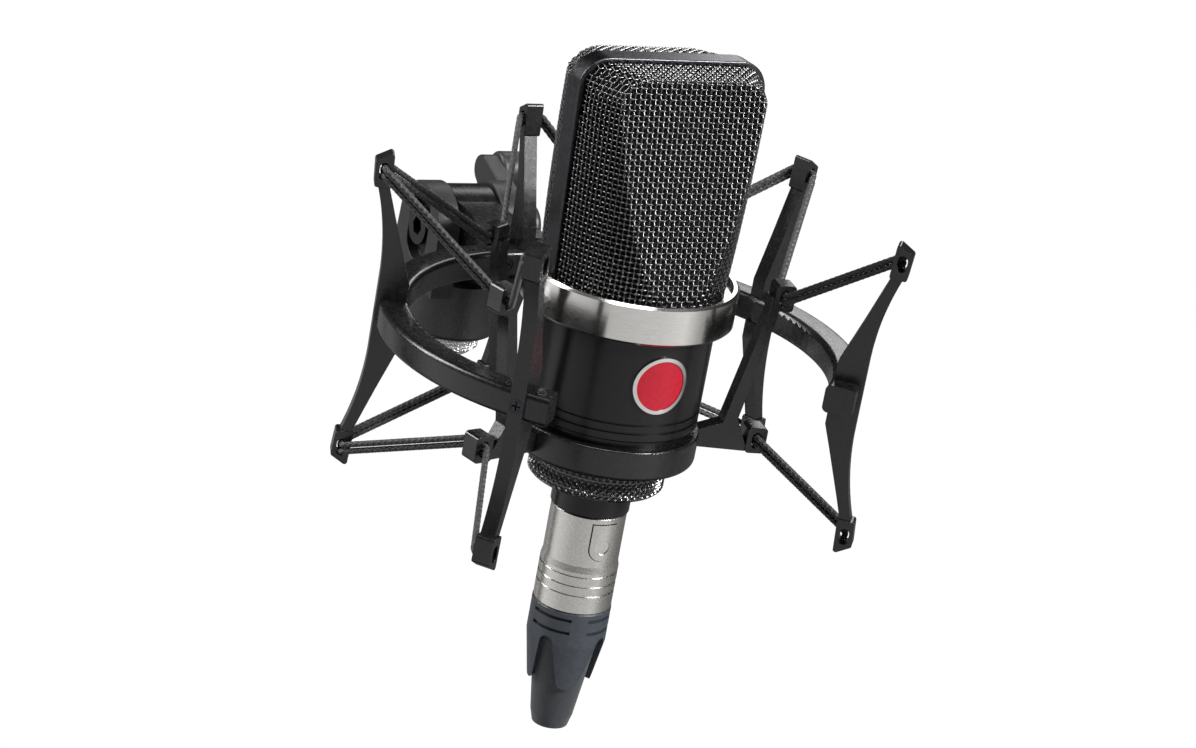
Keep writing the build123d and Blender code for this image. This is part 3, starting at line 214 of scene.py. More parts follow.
satinPaint = grainedFinish("satin black paint", (0.004, 0.004, 0.0045), (0.006, 0.006, 0.0066),
                           (0.2, 0.26), 900, bump=0.000012, bumpGrain=5200, specular=0.3)
framePaint = grainedFinish("satin frame paint", (0.004, 0.004, 0.0045), (0.007, 0.007, 0.0075),
                           (0.22, 0.29), 700, bump=0.00002, bumpGrain=4200, specular=0.48)
sandPaint = grainedFinish("sand textured paint", (0.006, 0.006, 0.0065), (0.018, 0.018, 0.019),
                          (0.34, 0.5), 1600, bump=0.00009, bumpGrain=2400)
wirePaint = grainedFinish("glossy wire paint", (0.003, 0.003, 0.0035), (0.006, 0.006, 0.0066),
                          (0.09, 0.14), 1500, coat=1.0, coatRough=0.07, specular=0.9)
nutPaint = grainedFinish("glossy nut paint", (0.003, 0.003, 0.0035), (0.006, 0.006, 0.0066),
                         (0.13, 0.19), 1500, coat=0.8, coatRough=0.09, specular=0.8)
gauzePaint = grainedFinish("inner gauze", (0.0015, 0.0015, 0.002), (0.006, 0.006, 0.007),
                           (0.7, 0.9), 2600, bump=0.0001, bumpGrain=2200, specular=0.2)
bandMetal = grainedFinish("satin dark metal", (0.05, 0.051, 0.056), (0.065, 0.066, 0.072),
                          (0.26, 0.34), 800, metal=1.0, bump=0.000006, bumpGrain=6000)
trimNickel = grainedFinish("polished nickel", (0.60, 0.585, 0.565), (0.66, 0.645, 0.625),
                           (0.13, 0.19), 500, metal=1.0, stretch=(1, 1, 12))
plugNickel = grainedFinish("satin nickel", (0.46, 0.45, 0.425), (0.6, 0.585, 0.56),
                           (0.24, 0.33), 2600, metal=1.0, bump=0.000016, bumpGrain=5200)
nutSilver = grainedFinish("bright plating", (0.62, 0.62, 0.62), (0.74, 0.74, 0.73),
                          (0.2, 0.3), 1200, metal=1.0, bump=0.00001, bumpGrain=6000)
enamelRed = grainedFinish("red enamel", (0.30, 0.003, 0.013), (0.35, 0.004, 0.017),
                          (0.12, 0.2), 900, coat=0.1, coatRough=0.04, specular=0.3)
mouldedBlack = grainedFinish("moulded black", (0.012, 0.012, 0.013), (0.02, 0.02, 0.022),
                             (0.4, 0.55), 1200, bump=0.00002, bumpGrain=4000)
bootPlastic = grainedFinish("blue grey plastic", (0.024, 0.029, 0.038), (0.033, 0.04, 0.05),
                            (0.38, 0.5), 900, bump=0.000018, bumpGrain=4200)
softRubber = grainedFinish("soft rubber", (0.012, 0.015, 0.019), (0.02, 0.024, 0.03),
                           (0.55, 0.7), 1100, bump=0.00003, bumpGrain=3600, sheen=0.15)
screwBlack = grainedFinish("blackened steel", (0.03, 0.03, 0.033), (0.06, 0.06, 0.066),
                           (0.28, 0.42), 1400, metal=1.0)
zincSteel = grainedFinish("zinc plated steel", (0.42, 0.43, 0.45), (0.55, 0.55, 0.56),
                          (0.25, 0.38), 900, metal=1.0, bump=0.00001, bumpGrain=5000)
brassTurned = grainedFinish("turned brass", (0.62, 0.42, 0.17), (0.74, 0.53, 0.24),
                            (0.2, 0.35), 900, metal=1.0, stretch=(1, 8, 1))
goldFilm = grainedFinish("gold film", (0.85, 0.62, 0.24), (0.95, 0.72, 0.32),
                         (0.12, 0.2), 500, metal=1.0, bump=0.00001, bumpGrain=300)
solderMask = grainedFinish("solder resist", (0.012, 0.10, 0.045), (0.02, 0.15, 0.065),
                           (0.25, 0.4), 1500, coat=0.3)
capCases = grainedFinish("component cases", (0.03, 0.03, 0.04), (0.07, 0.07, 0.09),
                         (0.3, 0.5), 900)
wireSleeve = grainedFinish("wire sleeve", (0.5, 0.48, 0.42), (0.62, 0.6, 0.52), (0.4, 0.55), 900)

finishBySlot = {
    "satin_black_paint": satinPaint,
    "textured_black_paint": sandPaint,
    "black_wire_mesh": wirePaint,
    "black_metal_trim": bandMetal,
    "nickel": trimNickel,
    "red_enamel": enamelRed,
    "black_plastic": mouldedBlack,
    "blue_grey_plastic": bootPlastic,
    "soft_black_rubber": softRubber,
    "brass": brassTurned,
    "gold_film": goldFilm,
    "board_green": solderMask,
    "component_cases": capCases,
    "insulated_wire": wireSleeve,
    "blackened_screws": screwBlack,
    "steel": zincSteel,
    "braided_elastic": mouldedBlack,
}
finishByNode = {
    "hinge_bolt": screwBlack,
    "plug_shell": plugNickel,
    "plug_latch": plugNickel,
    "lock_nut": nutSilver,
}
for name in nodes:
    if name.startswith(("frame_", "cradle_")) and "screws" not in name:
        finishByNode[name] = framePaint
slotOf = {part["node"]: part["material_slot"] for part in frame["record"]["subparts"]}
for name, piece in nodes.items():
    finish = finishByNode.get(name, finishBySlot[slotOf[name]])
    for materialSlot in piece.material_slots:
        materialSlot.material = finish
print("finishes made")

bodyOf = {name: body for body, names in frame["record"]["behaviour"]["bodies"].items()
          for name in names}


def addPiece(name, mesh, material, body, slotName, *replaced):
    piece = bpy.data.objects.new(name, mesh)
    bpy.context.collection.objects.link(piece)
    piece.data.materials.clear()
    piece.data.materials.append(material)
    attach(piece, body)
    if replaced:
        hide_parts(*replaced)
    return piece


# softened copies: the same solid with the small edge radius that paint and moulding leave
softEdges = {
    "width": 0.35,                       # millimetres
    "widthByNode": {"frame_ring": 0.5, "frame_tongue": 0.5, "swivel_fork": 0.5,
                    "clamp_lever": 0.5, "head_frame": 0.4},
    "segments": 2,
    "sharpAngle": math.radians(32),
    "flatAngle": math.radians(0.6),      # faces closer than this are made one
    "merge": 0.002,                      # millimetres between corners that are the same one
}


def soften(name, e):
    source = nodes[name]
    mesh = source.data.copy()
    form = bmesh.new()
    form.from_mesh(mesh)
    bmesh.ops.remove_doubles(form, verts=form.verts, dist=e["merge"] * mm)
    bmesh.ops.dissolve_limit(form, angle_limit=e["flatAngle"], verts=form.verts,
                             edges=form.edges)
    bmesh.ops.recalc_face_normals(form, faces=form.faces)
    form.to_mesh(mesh)
    form.free()
    if "custom_normal" in mesh.attributes:
        mesh.attributes.remove(mesh.attributes["custom_normal"])
    for face in mesh.polygons:
        face.use_smooth = True
    piece = addPiece(name + "_finished", mesh, source.material_slots[0].material, bodyOf[name],
                     slotOf[name], name)
    bevel = piece.modifiers.new("edge", "BEVEL")
    bevel.width = e["widthByNode"].get(name, e["width"]) * mm
    bevel.segments = e["segments"]
    bevel.limit_method = "ANGLE"
    bevel.angle_limit = e["sharpAngle"]
    bevel.harden_normals = True
    bevel.use_clamp_overlap = True


for name in nodes:
    if name.startswith(("frame_arm_", "cradle_arm_")) and name != "frame_arm_screws":
        soften(name, softEdges)
for name in softEdges["widthByNode"]:
    soften(name, softEdges)
print("edges softened")

# woven wire of the head: uprights and rounds in each half, crossing over and under
grilleSettings = {
    "across": 1.34,         # mm between uprights
    "up": 1.27,             # mm between rounds
    "wire": 0.46,           # wire thickness
    "crimp": 0.2,           # how far each wire swings in and out
    "depth": 0.45,          # middle of the cloth below the shell's face
    "steps": 4,             # points per crossing
    "firstRow": -1,
    "lastHeight": 52.0,
    "rowShift": 0.25,       # of a row, from the trim ring's top to round number 0
    "halfRound": 45,        # mm of each round from the middle of the panel
    "sideCount": 33,        # uprights each side of the middle one
    "fullRows": 49.3,       # higher rounds keep to the panel and the shoulders' lower half
    "turn": 42.5,           # above this the side's uprights run straight over the top
    "panelFacing": 0.75,    # the panel is where the face looks this much to the front
    "panelPhase": 0.7,      # and here the rounds still set which wire is in front
    "cornerIn": 18.0,       # half width of the flat top
    "cornerOut": 22.9,      # half width where the shoulder's slope passes 45 degrees
    "bandSide": 3.0,        # the cloth ends under the band
    "fanHeight": 30.0,      # the lines over the top are cut by rays from this height
    "rayStart": 60,         # mm outside which the rays begin
    "rayTurn": 0.4,         # degrees between rays, and their number in a quarter turn
    "rayCount": 226,
    "evened": 4,            # neighbours each way that even a normal out
    "leastPoints": 4,       # shorter bits of wire are left out
    "joinWithin": 0.5,      # mm from the middle at which the two halves of a wire are one
    "wireRoundness": 1,
    "gauze": (0.95, 0.95, 0.968),      # the fine inner cloth, as a share of the shell's size
}


def shellOf(name):
    form = bmesh.new()
    form.from_mesh(nodes[name].data)
    tree = BVHTree.FromBMesh(form)
    form.free()
    return tree


def tracedLine(tree, origin, directions, inside, g):
    # where rays from outside towards the origin meet the shell, with normals evened along the line
    line = []
    for direction in directions:
        hit, normal, index, far = tree.ray_cast(origin + direction * g["rayStart"] * mm, -direction)
        if hit is None or not inside(hit, normal):
            if line:
                break
            continue
        line.append((hit, normal))
    evened = []
    for k, (hit, normal) in enumerate(line):
        nearby = [n for p, n in line[max(k - g["evened"], 0):k + g["evened"] + 1]]
        evened.append((hit, sum(nearby, Vector()).normalized()))
    return evened


def lengthsAlong(line):
    lengths = [0.0]
    for (a, n), (b, m) in zip(line, line[1:]):
        lengths.append(lengths[-1] + (b - a).length / mm)
    return lengths


def pointAt(line, lengths, run):
    if not line or run > lengths[-1]:
        return None
    k = min(max(bisect.bisect_right(lengths, run) - 1, 0), len(line) - 2)
    part = (run - lengths[k]) / max(lengths[k + 1] - lengths[k], 1e-9)
    (a, n), (b, m) = line[k:k + 2]
    return a.lerp(b, part), n.lerp(m, part).normalized()


def evenPoints(line, step):
    if len(line) < 2:
        return []
    lengths = lengthsAlong(line)
    return [pointAt(line, lengths, step * k) for k in range(int(lengths[-1] / step) + 1)]


def mirroredWire(wire):
    return [Vector((2 * micX - point.x, point.y, point.z)) for point in wire]


def tubesAlong(routes, radius, roundness, capped):
    curve = bpy.data.curves.new("tubes", "CURVE")
    curve.dimensions = "3D"
    curve.bevel_depth = radius * mm
    curve.bevel_resolution = roundness
    curve.use_fill_caps = capped
    for route in routes:
        spline = curve.splines.new("POLY")
        spline.points.add(len(route) - 1)
        spline.points.foreach_set("co", [value for point in route for value in (*point, 1)])
    return meshOf(curve)


def meshOf(curve):
    holder = bpy.data.objects.new("holder", curve)
    mesh = bpy.data.meshes.new_from_object(holder)
    bpy.data.objects.remove(holder)
    return mesh


def weave(name, side, g):
    tree = shellOf(name)
    across, up, crimp = g["across"], g["up"], g["crimp"]
    halfTurn = [math.radians(g["rayTurn"]) * k for k in range(g["rayCount"])]
    rounds, uprights = [], []

    def depthOf(point):
        return (point.y - micY) * side / mm

    def heightOf(point):
        return (point.z - trimTop) / mm

    def rowHeight(j):
        return (j + g["rowShift"]) * up

    def laid(point, normal, swing):
        return point + normal * (swing * crimp - g["depth"]) * mm

    def rowPhase(point):
        return math.cos(math.pi * (heightOf(point) / up - g["rowShift"]))

    def underBand(point, normal):
        return depthOf(point) > g["bandSide"]

    # lines round the head at each row's height, both ways from the middle of the panel
    rows = {}
    lastRow = int(g["lastHeight"] / up - g["rowShift"])
    for j in range(g["firstRow"], lastRow + 1):
        middle = onMic(0, 0, rowHeight(j))
        for hand in (1, -1):
            directions = [Vector((hand * math.sin(turn), side * math.cos(turn), 0))
                          for turn in halfTurn]
            line = tracedLine(tree, middle, directions, underBand, g)
            rows[j, hand] = (line, lengthsAlong(line))

    for j in range(g["firstRow"], lastRow + 1):
        wire = []
        step = across / g["steps"]
        for k in range(-int(g["halfRound"] / step), int(g["halfRound"] / step) + 1):
            found = pointAt(*rows[j, 1 if k >= 0 else -1], abs(k) * step)
            if found is None:
                continue
            point, normal = found
            if not (heightOf(point) < g["fullRows"] or abs(normal.y) > g["panelFacing"]
                    or abs(normal.x) > abs(normal.z)):
                if len(wire) >= g["leastPoints"]:
                    rounds.append(wire)
                wire = []
                continue
            swing = -math.cos(math.pi * k / g["steps"]) * (-1) ** j
            wire.append(laid(point, normal, swing))
        if len(wire) >= g["leastPoints"]:
            rounds.append(wire)

    # uprights at even steps round the head, up to where they turn
    turnRow = int(g["turn"] / up - g["rowShift"])
    lines = {}
    for i in range(-g["sideCount"], g["sideCount"] + 1):
        hand = 1 if i >= 0 else -1
        line = []
        for j in range(g["firstRow"], turnRow + 1):
            found = pointAt(*rows[j, hand], abs(i) * across)
            if found:
                line.append(found)
        if len(line) > 2:
            lines[i] = line

    sides = sorted((depthOf(line[-1][0]), i) for i, line in lines.items()
                   if i > 0 and abs(line[-1][1].y) <= g["panelFacing"] and len(line) > turnRow)
    sideDepths = [depth for depth, i in sides]

    def railCount(depth):
        # number of the side's upright that crosses the top at this depth, as a smooth count
        k = min(max(bisect.bisect_right(sideDepths, depth) - 1, 0), len(sides) - 2)
        part = (depth - sideDepths[k]) / (sideDepths[k + 1] - sideDepths[k])
        return sides[k][1] + part * (sides[k + 1][1] - sides[k][1])

    parity = 1 if (lastRow + min(i for depth, i in sides)) % 2 else -1

    def railPhase(point):
        return parity * math.cos(math.pi * railCount(depthOf(point)))

    def uprightPhase(point):
        return -parity * math.cos(math.pi * (point.x - micX) / mm / across)

    def upright(i, line):
        wire = []
        for (a, n), (b, m) in zip(line, line[1:]):
            for k in range(g["steps"]):
                point, normal = a.lerp(b, k / g["steps"]), n.lerp(m, k / g["steps"])
                wire.append(laid(point, normal, rowPhase(point) * (-1) ** i))
        return wire

    for i, line in lines.items():
        wire = upright(i, line)
        end, facing = line[-1]
        x, y = (end.x - micX) / mm, depthOf(end)
        if len(line) <= turnRow:
            uprights.append(wire)
        elif abs(facing.y) > g["panelFacing"]:
            origin = Vector((end.x, micY, trimTop + g["fanHeight"] * mm))
            first = math.atan2(heightOf(end) - g["fanHeight"], y)
            directions = [Vector((0, side * math.cos(turn), math.sin(turn)))
                          for turn in halfTurn if turn > first]
            line = tracedLine(tree, origin, directions, lambda p, n: underBand(p, n)
                              and (abs(x) < g["cornerIn"] or abs(n.y) > g["panelFacing"]), g)
            for point, normal in evenPoints(line, up / g["steps"]):
                onPanel = abs(normal.y) > g["panelPhase"]
                phase = rowPhase(point) if onPanel else railPhase(point)
                wire.append(laid(point, normal, phase * (-1) ** i))
            uprights.append(wire)
        elif i > 0:
            origin = Vector((micX, end.y, trimTop + g["fanHeight"] * mm))
            first = math.atan2(heightOf(end) - g["fanHeight"], x)
            directions = [Vector((math.cos(turn), 0, math.sin(turn)))
                          for turn in halfTurn if turn > first]
            line = tracedLine(tree, origin, directions, lambda p, n: abs(n.y) < g["panelFacing"], g)
            for point, normal in evenPoints(line, across / g["steps"]):
                onSide = abs(normal.x) > abs(normal.z)
                phase = rowPhase(point) if onSide else uprightPhase(point)
                wire.append(laid(point, normal, phase * (-1) ** i))
            mirrored = mirroredWire(wire)
            if line and abs(line[-1][0].x - micX) < g["joinWithin"] * mm:
                uprights.append(wire + list(reversed(mirrored))[1:])
            else:
                uprights += [wire, mirrored]

    # short lines on the shoulders' upper half, between the flat top and the 45 degree line
    for i in range(math.ceil(g["cornerIn"] / across), int(g["cornerOut"] / across) + 1):
        origin = Vector((micX + i * across * mm, micY, trimTop + g["fanHeight"] * mm))
        directions = [Vector((0, side * math.cos(turn), math.sin(turn)))
                      for turn in reversed(halfTurn)]
        line = tracedLine(tree, origin, directions, lambda p, n: underBand(p, n)
                          and abs(n.y) < g["panelFacing"] and abs(n.x) < abs(n.z), g)
        wire = [laid(point, normal, railPhase(point) * (-1) ** i)
                for point, normal in evenPoints(line, up / g["steps"])]
        if len(wire) >= g["leastPoints"]:
            uprights += [wire, mirroredWire(wire)]

    for kind, wires in (("rounds", rounds), ("uprights", uprights)):
        mesh = tubesAlong(wires, g["wire"] / 2, g["wireRoundness"], True)
        mesh.polygons.foreach_set("use_smooth", [True] * len(mesh.polygons))
        addPiece(f"{name}_{kind}", mesh, wirePaint, "microphone", slotOf[name], name)
        print(name, kind, len(wires), "wires,", len(mesh.polygons), "faces")

    # the fine cloth behind: the same shell, a little smaller
    mesh = nodes[name].data.copy()
    form = bmesh.new()
    form.from_mesh(mesh)
    bmesh.ops.remove_doubles(form, verts=form.verts, dist=softEdges["merge"] * mm)
    bmesh.ops.scale(form, verts=form.verts, vec=g["gauze"],
                    space=Matrix.Translation(-onMic(0, 0, 0)))
    form.to_mesh(mesh)
    form.free()
    addPiece(name + "_gauze", mesh, gauzePaint, "microphone", slotOf[name])


weave("head_grille_front", -1, grilleSettings)
weave("head_grille_rear", 1, grilleSettings)

# elastic cords: each run from a tip of the frame to a hook of the cradle
elasticSettings = {
    "tips": (51.1, 111.6, 180.0, 248.4, 308.9),
    "hooks": (78.0, 148.0, 212.0, 282.0),
    "tipRadius": 63.0,
    "hookRadius": 39.2,
    "tipHalf": 3.1,        # from the middle of a hole to the cord's first bend
    "hookHalf": 3.3,
    "bend": 0.55,          # where on that way the cord's second point is
    "straight": 1.8,       # from the bend to where the cord runs straight
    "levels": {"upper_elastic": (16.9, -3.8), "lower_elastic": (-53.9, -41.5)},
    "spacing": 1.75,         # the cord is doubled
    "radius": 0.76,
    "roundness": 6,
    "routeSteps": 12,       # along the route, for each of its points
    "ring": 0.24,           # between the rings of the tube
    "ridge": 0.26,          # height of the braid, as a share of the radius
    "strands": 4,           # ridges each way round the cord
    "sunk": 0.85,           # of the ridge's height, so that the cord keeps its thickness
    "lay": 1.6,             # along the cord from ridge to ridge
}


def tangentPoint(azimuth, radius, height, along):
    turn = math.radians(azimuth)
    return onMic(azimuth, radius, height) + Vector((math.cos(turn), math.sin(turn), 0)) * along * mm


def smoothRoute(points, steps):
    curve = bpy.data.curves.new("route", "CURVE")
    curve.dimensions = "3D"
    spline = curve.splines.new("NURBS")
    spline.points.add(len(points) - 1)
    for control, point in zip(spline.points, points):
        control.co = (*point, 1)
    spline.order_u = 3
    spline.use_endpoint_u = True
    curve.resolution_u = steps
    return [vertex.co.copy() for vertex in meshOf(curve).vertices]


def evenly(route, step):
    spaced, carry = [route[0]], 0.0
    for a, b in zip(route, route[1:]):
        length = (b - a).length
        at = step - carry
        while at <= length:
            spaced.append(a.lerp(b, at / length))
            at += step
        carry = (carry + length) % step if length else carry
    return spaced


def braidedTube(routes, e):
    # a plain tube along each route, lifted into ridges that cross each other
    mesh = tubesAlong(routes, e["radius"], e["roundness"], False)
    sides = len(mesh.vertices) // sum(len(route) for route in routes)
    first = 0
    for route in routes:
        for ring, centre in enumerate(route):
            for side in range(sides):
                vertex = mesh.vertices[first + ring * sides + side]
                turn = e["strands"] * math.tau * side / sides
                along = math.tau * ring * e["ring"] / e["lay"]
                lift = max(math.cos(turn + along), math.cos(turn - along)) - e["sunk"]
                out = vertex.co - centre
                vertex.co = centre + out * (1 + e["ridge"] * lift)
        first += len(route) * sides
    form = bmesh.new()
    form.from_mesh(mesh)
    bmesh.ops.holes_fill(form, edges=form.edges)
    bmesh.ops.recalc_face_normals(form, faces=form.faces)
    form.to_mesh(mesh)
    form.free()
    mesh.polygons.foreach_set("use_smooth", [True] * len(mesh.polygons))
    return mesh


def elasticRuns(name, levels, e):
    tipHeight, hookHeight = levels
    stations = sorted([(a, True) for a in e["tips"]] + [(a, False) for a in e["hooks"]])
    for number, ((firstAt, firstTip), (nextAt, nextTip)) in enumerate(zip(stations, stations[1:])):
        routes = []
        for side in (-1, 1):
            ends = []
            for azimuth, tip, way in ((firstAt, firstTip, 1), (nextAt, nextTip, -1)):
                radius = e["tipRadius"] if tip else e["hookRadius"]
                height = (tipHeight if tip else hookHeight) + side * e["spacing"] / 2
                half = e["tipHalf"] if tip else e["hookHalf"]
                ends.append([tangentPoint(azimuth, radius, height, 0),
                             tangentPoint(azimuth, radius, height, way * half * e["bend"]),
                             tangentPoint(azimuth, radius, height, way * half)])
            start, finish = ends[0], list(reversed(ends[1]))
            way = (finish[0] - start[-1]).normalized()
            straight = way * e["straight"] * mm
            points = start + [start[-1] + straight, finish[0] - straight] + finish
            routes.append(evenly(smoothRoute(points, e["routeSteps"]), e["ring"] * mm))
        mesh = braidedTube(routes, e)
        piece = bpy.data.objects.new(f"{name}_run_{number + 1}", mesh)
        bpy.context.collection.objects.link(piece)
        mesh.materials.append(cordFinish)
        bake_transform(piece)
        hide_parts(name)


cordFinish = grainedFinish("braided elastic", (0.006, 0.006, 0.0065), (0.03, 0.03, 0.032),
                           (0.38, 0.55), 2600, bump=0.00012, bumpGrain=3000, sheen=0.2)
for name, levels in elasticSettings["levels"].items():
    elasticRuns(name, levels, elasticSettings)
print("elastic cords laced")

# knurled nuts: an outline turned about the axis, then cut with crossing grooves
nutSettings = {
    "retaining_nut": {"count": 62, "depth": 0.42, "chamfer": 0.8, "finish": nutPaint},
    "lock_nut": {"count": 56, "depth": 0.28, "chamfer": 0.45, "finish": nutSilver},
}
knurlSettings = {
    "lean": 1.0,            # slope of the grooves: 1 is 45 degrees
    "steps": 8,             # round the nut, for each ridge
    "rowHeight": 0.2,       # millimetres
    "leastRows": 6,
    "narrow": 1.6,          # a groove takes 1 / 1.6 of the spacing
    "endDepth": 0.25,       # share of the depth left where the knurl runs out
    "rimShare": 0.1,        # corners further in than this share of the chamfer stay plain
}


def grooveDepth(place, narrow):
    # 1 at the bottom of a groove and less than 0 between them
    return 1 - abs(2 * (place % 1) - 1) * narrow


def knurledNut(name, k, cut):
    low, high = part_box(name)
    middle = Vector(((low[0] + high[0]) / 2, (low[1] + high[1]) / 2, 0))
    radius = (high[0] - low[0]) / 2
    bottom, top = low[2], high[2]
    inner = min((vertex.co.xy - middle.xy).length for vertex in nodes[name].data.vertices)
    chamfer = k["chamfer"] * mm
    steps = k["count"] * cut["steps"]
    outline = [(inner, bottom), (radius - chamfer, bottom)]
    plainHeight = top - bottom - 2 * chamfer
    rows = max(int(plainHeight / (cut["rowHeight"] * mm)), cut["leastRows"])
    for row in range(rows + 1):
        outline.append((radius, bottom + chamfer + plainHeight * row / rows))
    outline += [(radius - chamfer, top), (inner, top)]
    form = bmesh.new()
    verts = [form.verts.new(middle + Vector((r, 0, z))) for r, z in outline]
    edges = [form.edges.new(pair) for pair in zip(verts, verts[1:] + verts[:1])]
    bmesh.ops.spin(form, geom=verts + edges, cent=middle, axis=(0, 0, 1), angle=math.tau,
                   steps=steps, use_merge=True)
    bmesh.ops.recalc_face_normals(form, faces=form.faces)
    waveLength = math.tau * radius / k["count"]
    for vertex in form.verts:
        out = vertex.co - middle
        if out.xy.length < radius - cut["rimShare"] * chamfer:
            continue
        turn = math.atan2(out.y, out.x) / math.tau * k["count"]
        rise = (vertex.co.z - bottom) / waveLength * cut["lean"]
        deep = max(grooveDepth(turn + rise, cut["narrow"]),
                   grooveDepth(turn - rise, cut["narrow"]), 0)
        edge = min(vertex.co.z - bottom - chamfer, top - chamfer - vertex.co.z) / chamfer
        runOut = min(max(cut["endDepth"] + edge, cut["endDepth"]), 1)
        share = 1 - k["depth"] * mm * deep * runOut / radius
        vertex.co.x = middle.x + out.x * share
        vertex.co.y = middle.y + out.y * share
    mesh = bpy.data.meshes.new(name + "_knurled")
    form.to_mesh(mesh)
    form.free()
    mesh.shade_flat()
    addPiece(name + "_knurled", mesh, k["finish"], bodyOf[name], slotOf[name], name)


for name, k in nutSettings.items():
    knurledNut(name, k, knurlSettings)
print("nuts knurled")

# floor, room and lamps
floorSettings = {
    "gap": 0.22,           # under the lowest point of the microphone's connector
    "half": 3.0,
    "tone": 0.7,
    "rough": 0.85,
    "white": 0.97,         # the share of plain white in view, over the floor's soft shadow
    "glow": 1.03,
}


def layFloor(f):
    form = bmesh.new()
    bmesh.ops.create_grid(form, x_segments=2, y_segments=2, size=f["half"])
    mesh = bpy.data.meshes.new("floor")
    bmesh.ops.translate(form, verts=form.verts, vec=(0, 0, cadBounds[0][2] - f["gap"]))
    form.to_mesh(mesh)
    form.free()
    floor = bpy.data.objects.new("floor", mesh)
    bpy.context.collection.objects.link(floor)
    material, tree, shader = newMaterial("floor")
    shader.inputs["Base Color"].default_value = (f["tone"], f["tone"], f["tone"], 1)
    shader.inputs["Roughness"].default_value = f["rough"]
    lightPath = tree.nodes.new("ShaderNodeLightPath")
    glow = tree.nodes.new("ShaderNodeEmission")
    glow.inputs["Strength"].default_value = f["glow"]
    mix = tree.nodes.new("ShaderNodeMixShader")
    share = tree.nodes.new("ShaderNodeMath")
    share.operation = "MULTIPLY"
    share.inputs[1].default_value = f["white"]
    tree.links.new(lightPath.outputs["Is Camera Ray"], share.inputs[0])
    tree.links.new(share.outputs[0], mix.inputs["Fac"])
    tree.links.new(shader.outputs["BSDF"], mix.inputs[1])
    tree.links.new(glow.outputs["Emission"], mix.inputs[2])
    # polished faces reflect the room through the floor
    clear = tree.nodes.new("ShaderNodeBsdfTransparent")
    reflected = tree.nodes.new("ShaderNodeMixShader")
    tree.links.new(lightPath.outputs["Is Glossy Ray"], reflected.inputs["Fac"])
    tree.links.new(mix.outputs["Shader"], reflected.inputs[1])
    tree.links.new(clear.outputs["BSDF"], reflected.inputs[2])
    tree.links.new(reflected.outputs["Shader"], tree.nodes["Material Output"].inputs["Surface"])
    mesh.materials.append(material)


layFloor(floorSettings)

lampSettings = {
    # azimuth, elevation, distance, width, height, power
    "key": (36, 34, 0.9, 0.26, 0.30, 15.0),
    "left": (-128, 30, 0.9, 0.20, 0.60, 8.0),
    "top": (-20, 78, 0.8, 0.40, 0.25, 4.0),
    "rim": (140, 30, 1.0, 0.25, 0.60, 1.6),
}


def hangLamps(lamps):
    middle = onMic(0, 0, 0)
    for name, (azimuth, elevation, distance, width, height, power) in lamps.items():
        turn, rise = math.radians(azimuth), math.radians(elevation)
        away = Vector((math.sin(turn) * math.cos(rise), -math.cos(turn) * math.cos(rise),
                       math.sin(rise)))
        data = bpy.data.lights.new(name, "AREA")
        data.shape = "RECTANGLE"
        data.size, data.size_y = width, height
        data.energy = power
        lamp = bpy.data.objects.new(name, data)
        lamp.matrix_world = (Matrix.Translation(middle + away * distance)
                             @ away.to_track_quat("Z", "Y").to_matrix().to_4x4())
        bpy.context.collection.objects.link(lamp)


hangLamps(lampSettings)

roomSettings = {
    "seen": 1.0,            # plain white behind everything
    "glow": 0.2,            # on matt faces
    "strength": 1.25,       # in reflections, where the room has light and dark walls
    "walls": ((-180, 0.4), (-172, 0.06), (-160, 0.75), (-150, 0.08), (-138, 0.1), (-128, 1.0),
              (-104, 0.85), (-60, 0.55), (10, 0.7), (38, 0.85), (58, 0.4), (95, 0.2),
              (150, 0.12), (180, 0.4)),
    # by how steeply a reflection looks up or down: the walls glow below eye level only
    "levels": ((-0.85, 0.05), (-0.65, 0.9), (-0.12, 1.0), (0.08, 0.16), (1.0, 0.1)),
}


def setStops(ramp, tones):
    stops = ramp.color_ramp.elements
    while len(stops) < len(tones):
        stops.new(0.5)
    for stop, (place, tone) in zip(stops, tones):
        stop.position = place
        stop.color = (tone, tone, tone, 1)


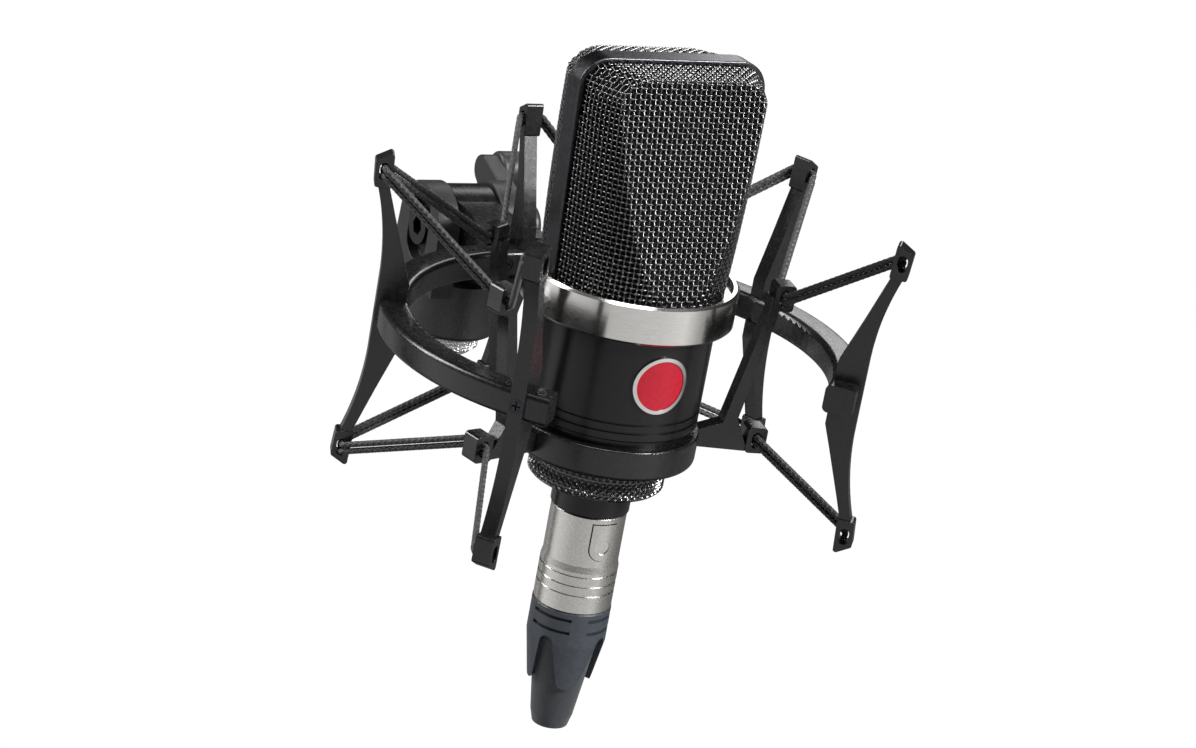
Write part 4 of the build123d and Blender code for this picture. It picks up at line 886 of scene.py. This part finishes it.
def lightRoom(r):
    world = bpy.data.worlds.new("room")
    bpy.context.scene.world = world
    world.use_nodes = True
    tree = world.node_tree
    path = tree.nodes.new("ShaderNodeLightPath")
    place = tree.nodes.new("ShaderNodeTexCoord")
    parts = tree.nodes.new("ShaderNodeSeparateXYZ")
    back = tree.nodes.new("ShaderNodeMath")
    back.operation = "MULTIPLY"
    back.inputs[1].default_value = -1
    turn = tree.nodes.new("ShaderNodeMath")
    turn.operation = "ARCTAN2"
    scale = tree.nodes.new("ShaderNodeMapRange")
    scale.inputs["From Min"].default_value = -math.pi
    scale.inputs["From Max"].default_value = math.pi
    ramp = tree.nodes.new("ShaderNodeValToRGB")
    tree.links.new(place.outputs["Generated"], parts.inputs["Vector"])
    tree.links.new(parts.outputs["Y"], back.inputs[0])
    tree.links.new(parts.outputs["X"], turn.inputs[0])
    tree.links.new(back.outputs[0], turn.inputs[1])
    tree.links.new(turn.outputs[0], scale.inputs["Value"])
    tree.links.new(scale.outputs["Result"], ramp.inputs["Fac"])
    rise = tree.nodes.new("ShaderNodeMapRange")
    rise.inputs["From Min"].default_value = -1
    levels = tree.nodes.new("ShaderNodeValToRGB")
    tree.links.new(parts.outputs["Z"], rise.inputs["Value"])
    tree.links.new(rise.outputs["Result"], levels.inputs["Fac"])
    setStops(ramp, [((azimuth + 180) / 360, tone) for azimuth, tone in r["walls"]])
    setStops(levels, [((level + 1) / 2, tone) for level, tone in r["levels"]])
    both = tree.nodes.new("ShaderNodeMixRGB")
    both.blend_type = "MULTIPLY"
    both.inputs["Fac"].default_value = 1
    tree.links.new(ramp.outputs["Color"], both.inputs["Color1"])
    tree.links.new(levels.outputs["Color"], both.inputs["Color2"])
    walls = tree.nodes["Background"]
    walls.inputs["Strength"].default_value = r["strength"]
    tree.links.new(both.outputs["Color"], walls.inputs["Color"])
    layers = []
    for name in ("glow", "seen"):
        layer = tree.nodes.new("ShaderNodeBackground")
        layer.name = name
        layer.inputs["Color"].default_value = (1, 1, 1, 1)
        layer.inputs["Strength"].default_value = r[name]
        layers.append(layer)
    reflected = tree.nodes.new("ShaderNodeMixShader")
    tree.links.new(path.outputs["Is Glossy Ray"], reflected.inputs["Fac"])
    tree.links.new(layers[0].outputs["Background"], reflected.inputs[1])
    tree.links.new(walls.outputs["Background"], reflected.inputs[2])
    shown = tree.nodes.new("ShaderNodeMixShader")
    tree.links.new(path.outputs["Is Camera Ray"], shown.inputs["Fac"])
    tree.links.new(reflected.outputs["Shader"], shown.inputs[1])
    tree.links.new(layers[1].outputs["Background"], shown.inputs[2])
    tree.links.new(shown.outputs["Shader"], tree.nodes["World Output"].inputs["Surface"])


lightRoom(roomSettings)
bpy.context.scene.view_settings.view_transform = "Standard"
print("floor, lamps and room set")
